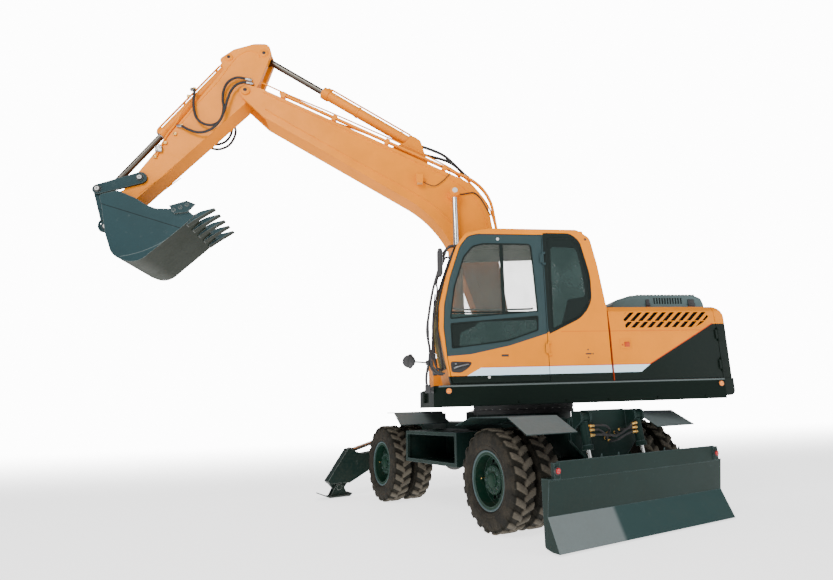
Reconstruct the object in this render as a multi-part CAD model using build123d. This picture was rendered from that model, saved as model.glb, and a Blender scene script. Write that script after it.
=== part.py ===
from build123d import *

import math
import os

os.makedirs("parts", exist_ok=True)

# Wheeled excavator. X is the way the boom points, Y is left and Z is up, from the ground at the
# swing centre. The undercarriage is modelled along its own X, outriggers in front and blade behind,
# and stands turned under the upper structure. All sizes are millimetres.

# Driving dimensions: stance and undercarriage
SWING_TURN = 67
REAR_AXLE_X = -950
FRONT_AXLE_X = 1850
TYRE_R = 525
TYRE_W = 278
TWIN_SPACING = 330
TRACK_OUT_Y = 1245
RIM_R = 300
HUB_R = 148
LUG_DEPTH = 22
KINGPIN_Y = 560
FRAME_HALF_W = 300
FRAME_TOP = 1060
FRAME_BOTTOM = 640
FRAME_REAR_X = -1440
RING_R = 660
RING_TOP = 1285
RING_H = 105
RING_PLAY = 0.3
FENDER_Z = 1165
FENDER_T = 8
BOX_X = (-270, 1080)
BOX_Y = (560, 1200)
BOX_Z = (605, 992)
BOX_WALL = 8
BOX_RIM = 42

# Blade
BLADE_HALF_W = 1245
BLADE_X = -1934
BLADE_BOTTOM = 20
BLADE_CREASE_Z = 302
BLADE_LEDGE_Z = 623
BLADE_TOP_Z = 770
BLADE_T = 18
BLADE_RAKE = 135
BLADE_PIVOT = (-1250, 500)
BLADE_ARM_Y = 400
BLADE_ROD_PIN = (-1660, 520)
BLADE_CYL_PIN = (-1560, 1130)
BLADE_LAMP_R = 26

# Outriggers
RIGGER_X = (2670, 2850)
RIGGER_PIVOT = (330, 640)
RIGGER_FOOT_PIN = (1560, 150)
RIGGER_CYL_PIN = (250, 985)
RIGGER_ROD_PIN = (1380, 670)
RIGGER_FOOT_Z = 15

# Upper structure
UPPER_HALF_W = 1237.5
SIDE_Y = UPPER_HALF_W - 15.5
SKIRT_Z = (1285, 1515)
SKIRT_FRONT_X = 1290
SEAM_X = -2170
TAIL_R = 2600
PANEL_TOP = 2392
CREASE_Z = 2078
PANEL_TOP_Y = SIDE_Y - 37
PANEL_T = 30
PANEL_GAP = 6
PANEL_SPLIT_X = -785

# Cab
CAB_IN_Y = 400
CAB_FLOOR = 1515
CAB_ROOF = 3340
CAB_REAR_X = -779
CAB_WALL = 48
DOOR_T = 40
DOOR_X = -34
GLASS_T = 6

# Boom, arm and bucket pins, each (x, z)
BOOM_FOOT = (250, 1900)
BOOM_TIP = (3739, 5603)
BOOM_CYL_FOOT = (850, 1450)
BOOM_CYL_ROD = (890, 4150)
ARM_CYL_FOOT = (1420, 4990)
ARM_CYL_ROD = (3540, 6240)
BUCKET_CYL_FOOT = (4005, 6140)
ARM_TIP = (5140, 3970)
ROCKER_PIN = (4950, 4280)
LINK_PIN = (5430, 4110)
BUCKET_PIN = (5266, 3610)
BOOM_HALF_W = 205
ARM_HALF_W = 152
BOOM_CYL_Y = 312
BUCKET_HALF_W = 520
PIN_R = 38
PIN_PLAY = 0.08
EYE_PLAY = 0.5
FORK_R = 480

# Fits and small parts
UP = (Align.CENTER, Align.CENTER, Align.MIN)
LUG_T = 24
BLADE_EYE = 76
BLADE_CHEEK = 14
BLADE_TUBE_R = 50
BLADE_BAR_R = 22
BLADE_LEAN = 48
BLADE_STRIP_INSET = 100
BLADE_GUSSETS = (330, 560)
BLADE_LAMP_Z = 690
RIGGER_WALL = 34
RIGGER_PLAY = 6
RIGGER_CHEEK = 38
BOX_ARMS = (60, 620)
NOSE_REACH = 260
HUB_Y = 690
HUB_PLAY = 8
SPINDLE_Y = 900
SPINDLE_R = 55
RIM_HALF_W = 115
FLANGE_T = 11
LUG_COUNT = 22
LUG_W = 70
TYRE_BEAD_R = 304
TYRE_BORE_R = 273
TWIN_OUTER_Y = TRACK_OUT_Y - TYRE_W / 2
FENDER_IN_Y = 600
FENDER_OUT_Y = 1245
FRONT_FENDER_RISE = 70
MARKER_X = (1130, -2120)
MARKER_Z = 1455
BRACKET_Y = 211
BRACKET_T = 28
BOOM_CYL_EYE = 70
ARM_EYE = 156
BUCKET_EYE = 140
ROD_EYE = 60
LINK_T = 34
BUCKET_EAR_Y = 158
FORK_GAP = 6
TOOTH_PITCH = 230
HOOD_HOLE_X = (-2080, -1230)
HOOD_HOLE_Y = (-420, 560)
HOOD_Y = (-480, 620)
HOOD_HINGE = (-500, 2416)
HOOD_SLOTS = 11
HOOD_SLOT_X = -1700
HOOD_SLOT_PITCH = 38
LOUVRE_ROWS = ((2132, 2203), (2212, 2318))
LOUVRE_LEAN = 1.12
LOUVRE_PITCH = 104
LOUVRE_W = 54
LOUVRE_FRONT = -960
LOUVRE_FIELD = ((-1000, 2130), (-985, 2260), (-1020, 2320), (-2060, 2320), (-2090, 2262), (-2010, 2190),
                (-1890, 2130))
HOOD_HINGE_X = (-1960, -1340)
SEAT_PLAY = 0.3
HINGE_OUT = 14
HINGE_R = 11
HINGE_PIN_R = 6
HINGE_H = 110
HINGE_BLOCK = 24
CAB_HINGES = (1900, 2970)
SIDE_HINGES = (1680, 2040)
PIPE_R = 17
PIPE_Y = (ARM_HALF_W + 22, ARM_HALF_W + 60)
PIPE_LIFT = 52
PIPE_START = 700
PIPE_SHORT = 227
CLAMPS = (620, 1500, 2300, 3060)
BOOM_BACK = ((105, 1930), (432, 4250), (3510, 5640))
BOOM_BEND_R = 700
WORK_LAMP = (1360, 4390)
CAB_MIRROR = (1180, 2905)
GUARD_RAIL = ((990, 3120), (1090, 3110), (1205, 2870), (1280, 2610), (1335, 2300), (1355, 2110), (1325, 1890),
              (1300, 1690), (1180, 1640))
GLASS_PLAY = 0.3


def row(shape):
    """Turns a shape of the undercarriage's own frame into the part's frame."""
    return Rot(0, 0, -SWING_TURN) * shape


def box(x, y, z):
    """A block between low and high corners on each axis."""
    size = (x[1] - x[0], y[1] - y[0], z[1] - z[0])
    return Pos((x[0] + x[1]) / 2, (y[0] + y[1]) / 2, (z[0] + z[1]) / 2) * Box(*size)


def corner(before, point, after, radius):
    """Start, middle and end of the arc that rounds one corner of an outline."""
    (px, pz) = point
    first, second = math.dist(before, point), math.dist(point, after)
    ax, az = (before[0] - px) / first, (before[1] - pz) / first
    bx, bz = (after[0] - px) / second, (after[1] - pz) / second
    half = math.acos(max(-1, min(1, ax * bx + az * bz))) / 2
    radius = min(radius, 0.49 * min(first, second) * math.tan(half))
    reach, middle = radius / math.tan(half), radius / math.sin(half) - radius
    mx, mz = ax + bx, az + bz
    size = math.hypot(mx, mz)
    return ((px + ax * reach, pz + az * reach), (px + mx / size * middle, pz + mz / size * middle),
            (px + bx * reach, pz + bz * reach))


def outline(rows, place):
    """A closed outline from rows of (u, v) or (u, v, corner radius)."""
    edges, last, first = [], None, None
    for i, entry in enumerate(rows):
        point = entry[:2]
        arc = [point]
        if len(entry) > 2:
            arc = corner(rows[i - 1][:2], point, rows[(i + 1) % len(rows)][:2], entry[2])
        if last:
            edges.append(Line(place(*last), place(*arc[0])))
        if len(arc) > 1:
            edges.append(ThreePointArc(*[place(*p) for p in arc]))
        first = first or arc[0]
        last = arc[-1]
    edges.append(Line(place(*last), place(*first)))
    return make_face(edges)


def side_plate(rows, y0, y1):
    """A plate seen from the side, rows of (x, z, radius), between two Y."""
    return extrude(outline(rows, lambda u, v: (u, y0, v)), amount=y1 - y0, dir=(0, 1, 0))


def cross_plate(rows, x0, x1):
    """A plate seen along the machine, rows of (y, z, radius), between two X."""
    return extrude(outline(rows, lambda u, v: (x0, u, v)), amount=x1 - x0, dir=(1, 0, 0))


def flat_plate(rows, z0, z1):
    """A plate seen from above, rows of (x, y, radius), between two Z."""
    return extrude(outline(rows, lambda u, v: (u, v, z0)), amount=z1 - z0, dir=(0, 0, 1))


def rod(start, end, radius):
    """A round bar from one point to another."""
    a, b = Vector(*start), Vector(*end)
    align = (Align.CENTER, Align.CENTER, Align.MIN)
    return Plane(origin=a, z_dir=b - a) * Cylinder(radius, (b - a).length, align=align)


def cross_pin(pin, y0, y1, radius=PIN_R):
    """A round pin across the machine at (x, z)."""
    return rod((pin[0], y0, pin[1]), (pin[0], y1, pin[1]), radius)


def mirrored(shape):
    """The same shape on the other side of the machine."""
    return mirror(shape, about=Plane.XZ)


def along(a, b, t):
    """The (x, z) point at distance t from a towards b."""
    length = math.dist(a, b)
    return (a[0] + (b[0] - a[0]) * t / length, a[1] + (b[1] - a[1]) * t / length)


def tangent_bar(a, ra, b, rb, y0, y1):
    """A link plate with round ends of radius ra at a and rb at b."""
    length = math.dist(a, b)
    turn = math.atan2(b[1] - a[1], b[0] - a[0])
    lean = math.acos((ra - rb) / length)
    rows = []
    for centre, radius in ((a, ra), (b, rb)):
        for sign in (1, -1):
            angle = turn + sign * lean
            rows.append((centre[0] + radius * math.cos(angle), centre[1] + radius * math.sin(angle)))
    bar = side_plate([rows[0], rows[2], rows[3], rows[1]], y0, y1)
    return bar + cross_pin(a, y0, y1, ra) + cross_pin(b, y0, y1, rb)


def save(shape, node):
    """Writes one piece of the machine."""
    export_step(shape, f"parts/{node}.step")


def save_solids(shapes, node):
    """Writes several solids that do not touch as one piece."""
    export_step(Compound(children=[s for shape in shapes for s in shape.solids()]), f"parts/{node}.step")


# Undercarriage

def rear_lugs():
    """Lugs for the blade arms and, above them, for the lift cylinders."""
    px, pz = BLADE_PIVOT
    cx = BLADE_CYL_PIN[0]
    low = [(px - 70, 430, 60), (px + 80, 430, 60), (px + 200, FRAME_BOTTOM + 30),
           (FRAME_REAR_X + 10, FRAME_BOTTOM + 30)]
    high = [(FRAME_REAR_X - 30, 980), (cx + 20, 1040, 30), (cx - 65, 1090, 50), (cx - 65, 1200, 50),
            (FRAME_REAR_X - 30, 1200)]
    lugs = Part()
    for rows, pin, half in ((low, BLADE_PIVOT, BLADE_EYE / 2), (high, BLADE_CYL_PIN, BLADE_TUBE_R)):
        inner, outer = half + EYE_PLAY, half + EYE_PLAY + LUG_T
        lugs += side_plate(rows, BLADE_ARM_Y - outer, BLADE_ARM_Y - inner)
        lugs += side_plate(rows, BLADE_ARM_Y + inner, BLADE_ARM_Y + outer)
        lugs += cross_pin(pin, BLADE_ARM_Y - outer, BLADE_ARM_Y + outer)
    reach = BLADE_ARM_Y + BLADE_EYE / 2 + LUG_T
    return lugs + box((px - 190, px + 200), (FRAME_HALF_W - 10, reach), (FRAME_BOTTOM, FRAME_BOTTOM + 50))


def rigger_housing():
    """Cross box at the front end that carries both outriggers between two walls."""
    wall = [(-470, 500), (470, 500), (470, 900), (340, 1080), (-340, 1080), (-470, 900)]
    rear = cross_plate(wall, RIGGER_X[0] - RIGGER_WALL - RIGGER_PLAY, RIGGER_X[0] - RIGGER_PLAY)
    front = cross_plate(wall, RIGGER_X[1] + RIGGER_PLAY, RIGGER_X[1] + RIGGER_PLAY + RIGGER_WALL)
    core = box((RIGGER_X[0] - RIGGER_PLAY - 1, RIGGER_X[1] + RIGGER_PLAY + 1), (-110, 110), (500, 1040))
    pins = Part()
    for sign in (1, -1):
        for y, z in (RIGGER_PIVOT, RIGGER_CYL_PIN):
            pins += rod((RIGGER_X[0] - RIGGER_WALL, sign * y, z), (RIGGER_X[1] + RIGGER_WALL, sign * y, z),
                        PIN_R)
    return rear + front + core + pins


def chassis_frame():
    """Box frame, waisted between the wheels, with the seat of the slew ring."""
    beam = box((FRAME_REAR_X, RIGGER_X[0] - RIGGER_WALL), (-FRAME_HALF_W, FRAME_HALF_W),
               (FRAME_BOTTOM, FRAME_TOP))
    waist = [(-520, 540), (520, 540), (760, FRAME_HALF_W), (760, -FRAME_HALF_W),
             (520, -540), (-520, -540), (-760, -FRAME_HALF_W), (-760, FRAME_HALF_W)]
    centre = flat_plate(waist, FRAME_BOTTOM + 60, FRAME_TOP)
    seat = Pos(0, 0, FRAME_TOP) * Cylinder(RING_R - 40, RING_TOP - RING_H - FRAME_TOP, align=UP)
    rear = cross_plate([(-510, 900), (-510, 1120, 40), (-300, 1205), (300, 1205), (510, 1120, 40), (510, 900),
                        (300, 700), (-300, 700)], FRAME_REAR_X - 40, FRAME_REAR_X)
    frame = beam + centre + seat + rear + rear_lugs() + mirrored(rear_lugs()) + rigger_housing()
    for x in BOX_ARMS:
        for sign in (1, -1):
            frame += box((x, x + 90), sorted((sign * 200, sign * BOX_Y[0])), (760, 860))
    return frame


def slew_ring():
    """Bearing ring between undercarriage and upper structure."""
    ring = Pos(0, 0, RING_TOP - RING_H) * Cylinder(RING_R, RING_H - RING_PLAY, align=UP)
    groove = Pos(0, 0, RING_TOP - RING_H / 2) * (Cylinder(RING_R + 1, 12) - Cylinder(RING_R - 12, 13))
    return ring - groove - Pos(0, 0, RING_TOP - RING_H) * Cylinder(RING_R - 190, RING_H, align=UP)


def axle_centre(x):
    """Round differential housing with its pinion nose and the seat under the frame."""
    drum = Pos(x, 0, TYRE_R) * Sphere(190)
    drum = drum & box((x - 200, x + 200), (-200, 200), (TYRE_R - 200, FRAME_BOTTOM))
    towards = 1 if x < 0 else -1
    nose = rod((x, 0, TYRE_R), (x + towards * NOSE_REACH, 0, TYRE_R), 88)
    seat = box((x - 90, x + 90), (-240, 240), (TYRE_R + 40, FRAME_BOTTOM))
    return drum + nose + seat


def rear_axle():
    """Rigid axle whose flanged ends carry the twin wheels on stub shafts."""
    x, z = REAR_AXLE_X, TYRE_R
    flange_y = HUB_Y - HUB_PLAY
    body = axle_centre(x) + rod((x, -flange_y, z), (x, flange_y, z), 86)
    body += rod((x, -flange_y, z), (x, 30 - flange_y, z), 130) + rod((x, flange_y - 30, z), (x, flange_y, z),
                                                                     130)
    return body + rod((x, -SPINDLE_Y, z), (x, SPINDLE_Y, z), SPINDLE_R)


def front_axle():
    """Steering axle with a bored kingpin boss at each end."""
    x, z = FRONT_AXLE_X, TYRE_R
    body = axle_centre(x) + rod((x, -KINGPIN_Y + 20, z), (x, KINGPIN_Y - 20, z), 80)
    for sign in (1, -1):
        body += rod((x, sign * KINGPIN_Y, z - 110), (x, sign * KINGPIN_Y, z + 110), 68)
    for sign in (1, -1):
        body -= rod((x, sign * KINGPIN_Y, z - 111), (x, sign * KINGPIN_Y, z + 111), PIN_R + PIN_PLAY)
    tie = rod((x - 170, -330, z + 10), (x - 170, 330, z + 10), 34) + box((x - 172, x - 60), (-60, 60),
                                                                         (z - 30, z + 50))
    return body + tie


def knuckle():
    """Steered fork that straddles the axle end on its kingpin and carries the stub shaft."""
    x, z = FRONT_AXLE_X, TYRE_R
    fork = Part()
    for low in (z - 150, z + 110 + EYE_PLAY):
        fork += flat_plate([(x - 62, KINGPIN_Y - 50, 40), (x - 62, HUB_Y - HUB_PLAY),
                            (x + 62, HUB_Y - HUB_PLAY),
                            (x + 62, KINGPIN_Y - 50, 40)], low, low + 40 - EYE_PLAY)
    fork += box((x - 62, x + 62), (KINGPIN_Y + 78, HUB_Y - HUB_PLAY), (z - 150, z + 150))
    fork += rod((x, KINGPIN_Y, z - 150), (x, KINGPIN_Y, z + 150), PIN_R)
    return fork + rod((x, HUB_Y - HUB_PLAY - 1, z), (x, SPINDLE_Y, z), SPINDLE_R)


def fender(points, inner, cut=None):
    """A bent sheet over a wheel from rows of (x, z), out to the full width."""
    sheet = [(x, z) for x, z in points] + [(x, z - FENDER_T) for x, z in reversed(points)]
    plate = side_plate(sheet, inner, FENDER_OUT_Y)
    return plate - cut if cut else plate


def rear_fender():
    """Mudguard with a sloped flap at both ends on a folded bracket."""
    plate = fender([(-1690, 1000), (-1380, FENDER_Z), (-670, FENDER_Z), (-340, 1080)], FENDER_IN_Y)
    low = FENDER_Z - FENDER_T
    bracket = cross_plate([(FRAME_HALF_W, 960), (FRAME_HALF_W + 12, 960), (FRAME_HALF_W + 12, low - 60),
                           (FENDER_IN_Y + 130, low - 12), (FENDER_IN_Y + 130, low + 1), (FENDER_IN_Y - 10,
                                                                                         low + 1),
                           (FRAME_HALF_W, low - 40)], -1240, -840)
    return plate + bracket


def front_fender():
    """Mudguard over the steered wheel with a clipped outer corner."""
    z = FENDER_Z + FRONT_FENDER_RISE
    cut = flat_plate([(1600, FENDER_OUT_Y + 1), (2061, 1050), (2061, FENDER_OUT_Y + 1)], 900, 1300)
    plate = fender([(1170, 1070), (1380, z), (2060, z)], 470, cut)
    low = z - FENDER_T
    bracket = cross_plate([(FRAME_HALF_W, 960), (FRAME_HALF_W + 12, 960), (FRAME_HALF_W + 12, low - 50),
                           (620, low - 12),
                           (620, low + 1), (460, low + 1), (FRAME_HALF_W, low - 30)], 1560, 1960)
    return plate + bracket


def tool_box():
    """Open-fronted box between the wheels with a raised rim."""
    body = box(BOX_X, BOX_Y, BOX_Z)
    low_x, high_x = BOX_X
    low_z, high_z = BOX_Z
    inner = box((low_x + BOX_WALL, high_x - BOX_WALL), (BOX_Y[0] + BOX_WALL, BOX_Y[1] + 1),
                (low_z + BOX_WALL, high_z - BOX_WALL))
    rim = box(BOX_X, (BOX_Y[1] - 40, BOX_Y[1]), BOX_Z)
    rim -= box((low_x + BOX_RIM, high_x - BOX_RIM), (BOX_Y[0], BOX_Y[1] + 1),
               (low_z + BOX_RIM, high_z - BOX_RIM))
    return (body - inner) + rim


def drive_line():
    """Transmission under the ring with a shaft to the nose of each axle."""
    case = box((-240, 300), (-190, 190), (TYRE_R - 80, FRAME_BOTTOM))
    rear = rod((-240, 0, TYRE_R), (REAR_AXLE_X + NOSE_REACH, 0, TYRE_R), 42)
    front = rod((300, 0, TYRE_R), (FRONT_AXLE_X - NOSE_REACH, 0, TYRE_R), 42)
    return case + rear + front


def facets(radius, v):
    """Even polygon about the axle with its corners at radius, in the plane y = v."""
    turns = [math.radians(360 / LUG_COUNT * (i + 0.5)) for i in range(LUG_COUNT)]
    return make_face(Polyline([(radius * math.sin(t), v, radius * math.cos(t)) for t in turns], close=True))


def tyre(x, y):
    """One tyre: carcass of flat facets with a lug across the tread on each of them."""
    half = TYRE_W / 2
    root = TYRE_R - LUG_DEPTH
    bead = RIM_HALF_W - FLANGE_T - 0.3
    # Sections from side to side: distance from the middle, radius of the corners
    side = [(bead, TYRE_BEAD_R), (half, RIM_R + 75), (half - 22, root)]
    sections = [facets(r, -v) for v, r in side] + [facets(r, v) for v, r in reversed(side)]
    carcass = loft(sections, ruled=True)
    carcass -= extrude(facets(TYRE_BORE_R, -half), amount=2 * half, dir=(0, 1, 0))
    lug = box((-LUG_W / 2, LUG_W / 2), (22 - half, half - 22), (root - 30, TYRE_R))
    return Pos(x, y, TYRE_R) * (carcass + [Rot(0, 360 / LUG_COUNT * i, 0) * lug for i in range(LUG_COUNT)])


def rim(y, disc_y):
    """Rim barrel with a flange each side and a disc at disc_y, on an axis through the origin."""
    rows = [(-RIM_HALF_W, RIM_R), (-RIM_HALF_W, RIM_R - 44), (RIM_HALF_W, RIM_R - 44), (RIM_HALF_W, RIM_R),
            (RIM_HALF_W - FLANGE_T, RIM_R), (RIM_HALF_W - FLANGE_T, RIM_R - 30),
            (FLANGE_T - RIM_HALF_W, RIM_R - 30), (FLANGE_T - RIM_HALF_W, RIM_R)]
    barrel = revolve(outline(rows, lambda u, v: (v, y + u, 0)), Axis.Y)
    disc = rod((0, disc_y - 8, 0), (0, disc_y + 8, 0), RIM_R - 40) - rod((0, disc_y - 9, 0),
                                                                         (0, disc_y + 9, 0), HUB_R - 20)
    for i in range(8):
        turn = math.radians(22.5 + 45 * i)
        hole = rod((200 * math.cos(turn), disc_y - 20, 200 * math.sin(turn)),
                   (200 * math.cos(turn), disc_y + 20, 200 * math.sin(turn)), 24)
        disc -= hole
    return barrel + disc


def wheel_rims(x, sign):
    """Twin rims on one hub drum that is bored for the stub shaft."""
    outer, inner = TWIN_OUTER_Y, TWIN_OUTER_Y - TWIN_SPACING
    hub = rod((0, HUB_Y, 0), (0, outer + 60, 0), HUB_R)
    hub = chamfer(hub.edges().sort_by(Axis.Y)[-1], 12)
    body = rim(outer, outer - 20) + rim(inner, inner + 40) + hub
    body -= rod((0, HUB_Y - 1, 0), (0, SPINDLE_Y + 5, 0), SPINDLE_R + PIN_PLAY)
    return Pos(x, 0, TYRE_R) * (body if sign > 0 else mirrored(body))


def wheel_tyres(x, sign):
    """Both tyres of one twin wheel."""
    return [tyre(x, sign * TWIN_OUTER_Y), tyre(x, sign * (TWIN_OUTER_Y - TWIN_SPACING))]


# Blade

def blade_arm():
    """One lift arm with the eye of the lift cylinder's rod standing over it."""
    low = BLADE_ARM_Y - BLADE_EYE / 2
    high = BLADE_ARM_Y + BLADE_EYE / 2
    arm = side_plate([(BLADE_X + 10, 400), (BLADE_ROD_PIN[0] - 20, 440),
                      (BLADE_PIVOT[0], BLADE_PIVOT[1] + 60),
                      (BLADE_PIVOT[0], BLADE_PIVOT[1] - 60), (BLADE_X + 10, 230)], low, high)
    arm += cross_pin(BLADE_PIVOT, low, high, 60)
    for y in (low, high - BLADE_CHEEK):
        arm += side_plate([(BLADE_X + 10, 560), (BLADE_ROD_PIN[0] - 60, 590, 60),
                           (BLADE_ROD_PIN[0] + 70, 580, 60),
                           (BLADE_ROD_PIN[0] + 80, 400), (BLADE_X + 10, 300)], y, y + BLADE_CHEEK)
    return arm - cross_pin(BLADE_PIVOT, low - 1, high + 1, PIN_R + PIN_PLAY)


def blade():
    """Folded mouldboard with side plates, top strip, lamp brackets and lift arms."""
    x = BLADE_X
    face = [(x - BLADE_RAKE, BLADE_BOTTOM), (x, BLADE_CREASE_Z), (x - BLADE_LEAN, BLADE_LEDGE_Z)]
    back = [(px + BLADE_T, pz) for px, pz in reversed(face)]
    body = side_plate(face + back, -BLADE_HALF_W, BLADE_HALF_W)
    strip_y = BLADE_HALF_W - BLADE_STRIP_INSET
    body += side_plate([(x - BLADE_LEAN, BLADE_LEDGE_Z - 6), (x - BLADE_LEAN - 4, BLADE_TOP_Z),
                        (x - BLADE_LEAN + 12, BLADE_TOP_Z), (x + 20, BLADE_LEDGE_Z - 6)], -strip_y, strip_y)
    body += box((x - BLADE_LEAN, x + 64), (-BLADE_HALF_W, BLADE_HALF_W), (BLADE_LEDGE_Z - 14, BLADE_LEDGE_Z))
    cheek = side_plate([(x - BLADE_RAKE, BLADE_BOTTOM), (x, BLADE_CREASE_Z), (x - BLADE_LEAN, BLADE_LEDGE_Z),
                        (x + 64, BLADE_LEDGE_Z), (x + 64, BLADE_BOTTOM + 20, 30), (x - 40, BLADE_BOTTOM)],
                       BLADE_HALF_W - 14, BLADE_HALF_W)
    lamp_block = box((x - BLADE_LEAN - 14, x - BLADE_LEAN + 30), (strip_y - 26, strip_y + 44),
                     (BLADE_LEDGE_Z - 4, BLADE_TOP_Z - 10))
    side = cheek + lamp_block + blade_arm()
    for y in BLADE_GUSSETS:
        side += side_plate([(x - BLADE_LEAN + 6, BLADE_TOP_Z + 30), (x + 60, 560), (x + 60, 250),
                            (x - 10, 200),
                            (x + 4, BLADE_CREASE_Z), (x - BLADE_LEAN + 6, BLADE_LEDGE_Z)], y, y + 16)
    return body + side + mirrored(side)


def blade_lamps():
    """Round tail lamps on the blade's lamp brackets."""
    x = BLADE_X - BLADE_LEAN - 14
    y = BLADE_HALF_W - BLADE_STRIP_INSET + 9
    lamp = rod((x, y, BLADE_LAMP_Z), (x - 22, y, BLADE_LAMP_Z), BLADE_LAMP_R)
    lamp = fillet(lamp.edges().sort_by(Axis.X)[0], 8)
    return [lamp, mirrored(lamp)]


# Hydraulic cylinders

def barrel(foot, end, length, radius, bore, eye_half, y=0.0):
    """Cylinder tube from its foot eye towards end, bored for the rod, with a gland ring."""
    gland = along(foot, end, length)
    neck = along(foot, end, length - 2.2 * bore)
    start = along(foot, end, 0.9 * radius)
    tube = rod((start[0], y, start[1]), (gland[0], y, gland[1]), radius)
    tube += rod((neck[0], y, neck[1]), (gland[0], y, gland[1]), radius + 12)
    body = tube + cross_pin(foot, y - eye_half, y + eye_half, radius)
    hollow_start = along(foot, end, 1.4 * radius + 20)
    past = along(foot, end, length + 10)
    body -= rod((hollow_start[0], y, hollow_start[1]), (past[0], y, past[1]), bore + PIN_PLAY)
    return body - cross_pin(foot, y - eye_half - 1, y + eye_half + 1, PIN_R + PIN_PLAY)


def cylinder_rod(foot, end, reach, bore, eye_half, eye_r, y=0.0):
    """Chrome rod of length reach that ends in a round eye."""
    tail = along(end, foot, reach)
    body = rod((tail[0], y, tail[1]), (end[0], y, end[1]), bore)
    return body + cross_pin(end, y - eye_half, y + eye_half, eye_r)


# Outriggers, drawn in their own plane with Y as the long way and shared by both sides

def rigger_leg():
    """Box arm with a cranked outer end, open above for its cylinder."""
    x0, x1 = RIGGER_X
    (py, pz), (fy, fz), (ry, rz) = RIGGER_PIVOT, RIGGER_FOOT_PIN, RIGGER_ROD_PIN
    rows = [(py, pz + 95, 60), (ry - 160, rz - 50), (ry + 50, rz + 50, 40), (fy + 190, 250),
            (fy + 60, fz - 50, 40),
            (fy - 80, fz - 30, 40), (fy - 130, 190), (1056, 380, 200), (py, pz - 95, 60)]
    leg = cross_plate(rows, x0, x1)
    leg += rod((x0, py, pz), (x1, py, pz), 95)
    slot = cross_plate([(ry - 190, rz - 100), (ry + 80, rz - 100), (ry + 80, rz + 80), (ry - 190, rz + 80)],
                       x0 + RIGGER_CHEEK, x1 - RIGGER_CHEEK)
    foot_slot = cross_plate([(fy - 150, fz + 60), (fy + 260, fz + 60), (fy + 260, fz - 120),
                             (fy - 150, fz - 120)],
                            x0 - 1, x0 + 60)
    other = cross_plate([(fy - 150, fz + 60), (fy + 260, fz + 60), (fy + 260, fz - 120),
                         (fy - 150, fz - 120)],
                        x1 - 60, x1 + 1)
    bores = rod((x0 - 1, py, pz), (x1 + 1, py, pz), PIN_R + PIN_PLAY)
    return leg - slot - foot_slot - other - bores + rod((x0 + 20, fy, fz), (x1 - 20, fy, fz), PIN_R)


def rigger_foot():
    """Sled-shaped pad with two ears on the leg's cross pin."""
    x0, x1 = RIGGER_X
    fy, fz = RIGGER_FOOT_PIN
    z = RIGGER_FOOT_Z
    rows = [(fy - 190, z + 30), (fy - 150, z), (fy + 160, z), (fy + 300, z + 60), (fy + 296, z + 74),
            (fy + 156, z + 16),
            (fy - 146, z + 16), (fy - 186, z + 44)]
    pad = cross_plate(rows, x0 - 30, x1 + 30)
    for x in (x0 + 22, x1 - 46):
        ear = cross_plate([(fy - 140, z + 10), (fy + 140, z + 10), (fy + 50, fz + 46, 40),
                           (fy - 50, fz + 46, 40)], x, x + 24)
        pad += ear
    return pad - rod((x0, fy, fz), (x1, fy, fz), PIN_R + PIN_PLAY)


def rigger_cylinder():
    """Barrel and rod of one outrigger, drawn on the X axis and turned into place."""
    middle = (RIGGER_X[0] + RIGGER_X[1]) / 2
    foot, end = RIGGER_CYL_PIN, RIGGER_ROD_PIN
    place = Pos(middle, 0, 0) * Rot(0, 0, 90)
    half = (RIGGER_X[1] - RIGGER_X[0]) / 2 - RIGGER_CHEEK - EYE_PLAY
    tube = barrel(foot, end, 620, 50, 32, half)
    bar = cylinder_rod(foot, end, 600, 32, half, 52)
    return place * tube, place * bar


# Upper structure

def boom_bracket():
    """Upright plate of the upper frame with the boom foot and boom cylinder pins."""
    plate = side_plate([(-420, SKIRT_Z[1] - 10), (-330, 1700), (100, 2060, 120), (420, 2060, 120),
                        (500, 1760),
                        (760, 1640), (1020, 1560, 60), (1000, 1340, 60), (700, SKIRT_Z[0] + 10),
                        (-420, SKIRT_Z[0] + 10)], BRACKET_Y, BRACKET_Y + BRACKET_T)
    inner = BOOM_CYL_Y - BOOM_CYL_EYE
    plate += cross_pin(BOOM_FOOT, 0, BRACKET_Y + BRACKET_T)
    plate += cross_pin(BOOM_FOOT, BRACKET_Y + 1, BRACKET_Y + BRACKET_T + 22, 80)
    plate += cross_pin(BOOM_CYL_FOOT, BRACKET_Y - 20, inner - EYE_PLAY, 85)
    return plate + cross_pin(BOOM_CYL_FOOT, BRACKET_Y, BOOM_CYL_Y + BOOM_CYL_EYE + 8)


def upper_frame():
    """Deck pan with skirts, front cross bar and the two boom brackets."""
    front = SKIRT_FRONT_X
    rows = [(SEAM_X, -UPPER_HALF_W), (front - 90, -UPPER_HALF_W, 50), (front, -1150), (front, 1150),
            (front - 90, UPPER_HALF_W, 50), (SEAM_X, UPPER_HALF_W)]
    deck = flat_plate(rows, *SKIRT_Z)
    for x0, x1 in ((SEAM_X + 30, -900), (-860, -60), (-20, front - 110)):
        for y0, y1 in ((CAB_IN_Y + 10, UPPER_HALF_W - 24), (24 - UPPER_HALF_W, -CAB_IN_Y - 10)):
            deck -= box((x0, x1), (y0, y1), (SKIRT_Z[0] + 24, SKIRT_Z[1] + 1))
    deck -= box((330, front + 1), (-BRACKET_Y, BRACKET_Y), (SKIRT_Z[0] + 60, SKIRT_Z[1] + 1))
    deck -= box((-2100, -460), (-BRACKET_Y, BRACKET_Y), (SKIRT_Z[0] + 24, SKIRT_Z[1] + 1))
    for sign in (1, -1):
        deck -= box((520, front + 1), sorted((sign * (BRACKET_Y + BRACKET_T), sign * (BOOM_CYL_Y + 120))),
                    (SKIRT_Z[0] + 60, SKIRT_Z[1] + 1))
    return deck + boom_bracket() + mirrored(boom_bracket())


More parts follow.
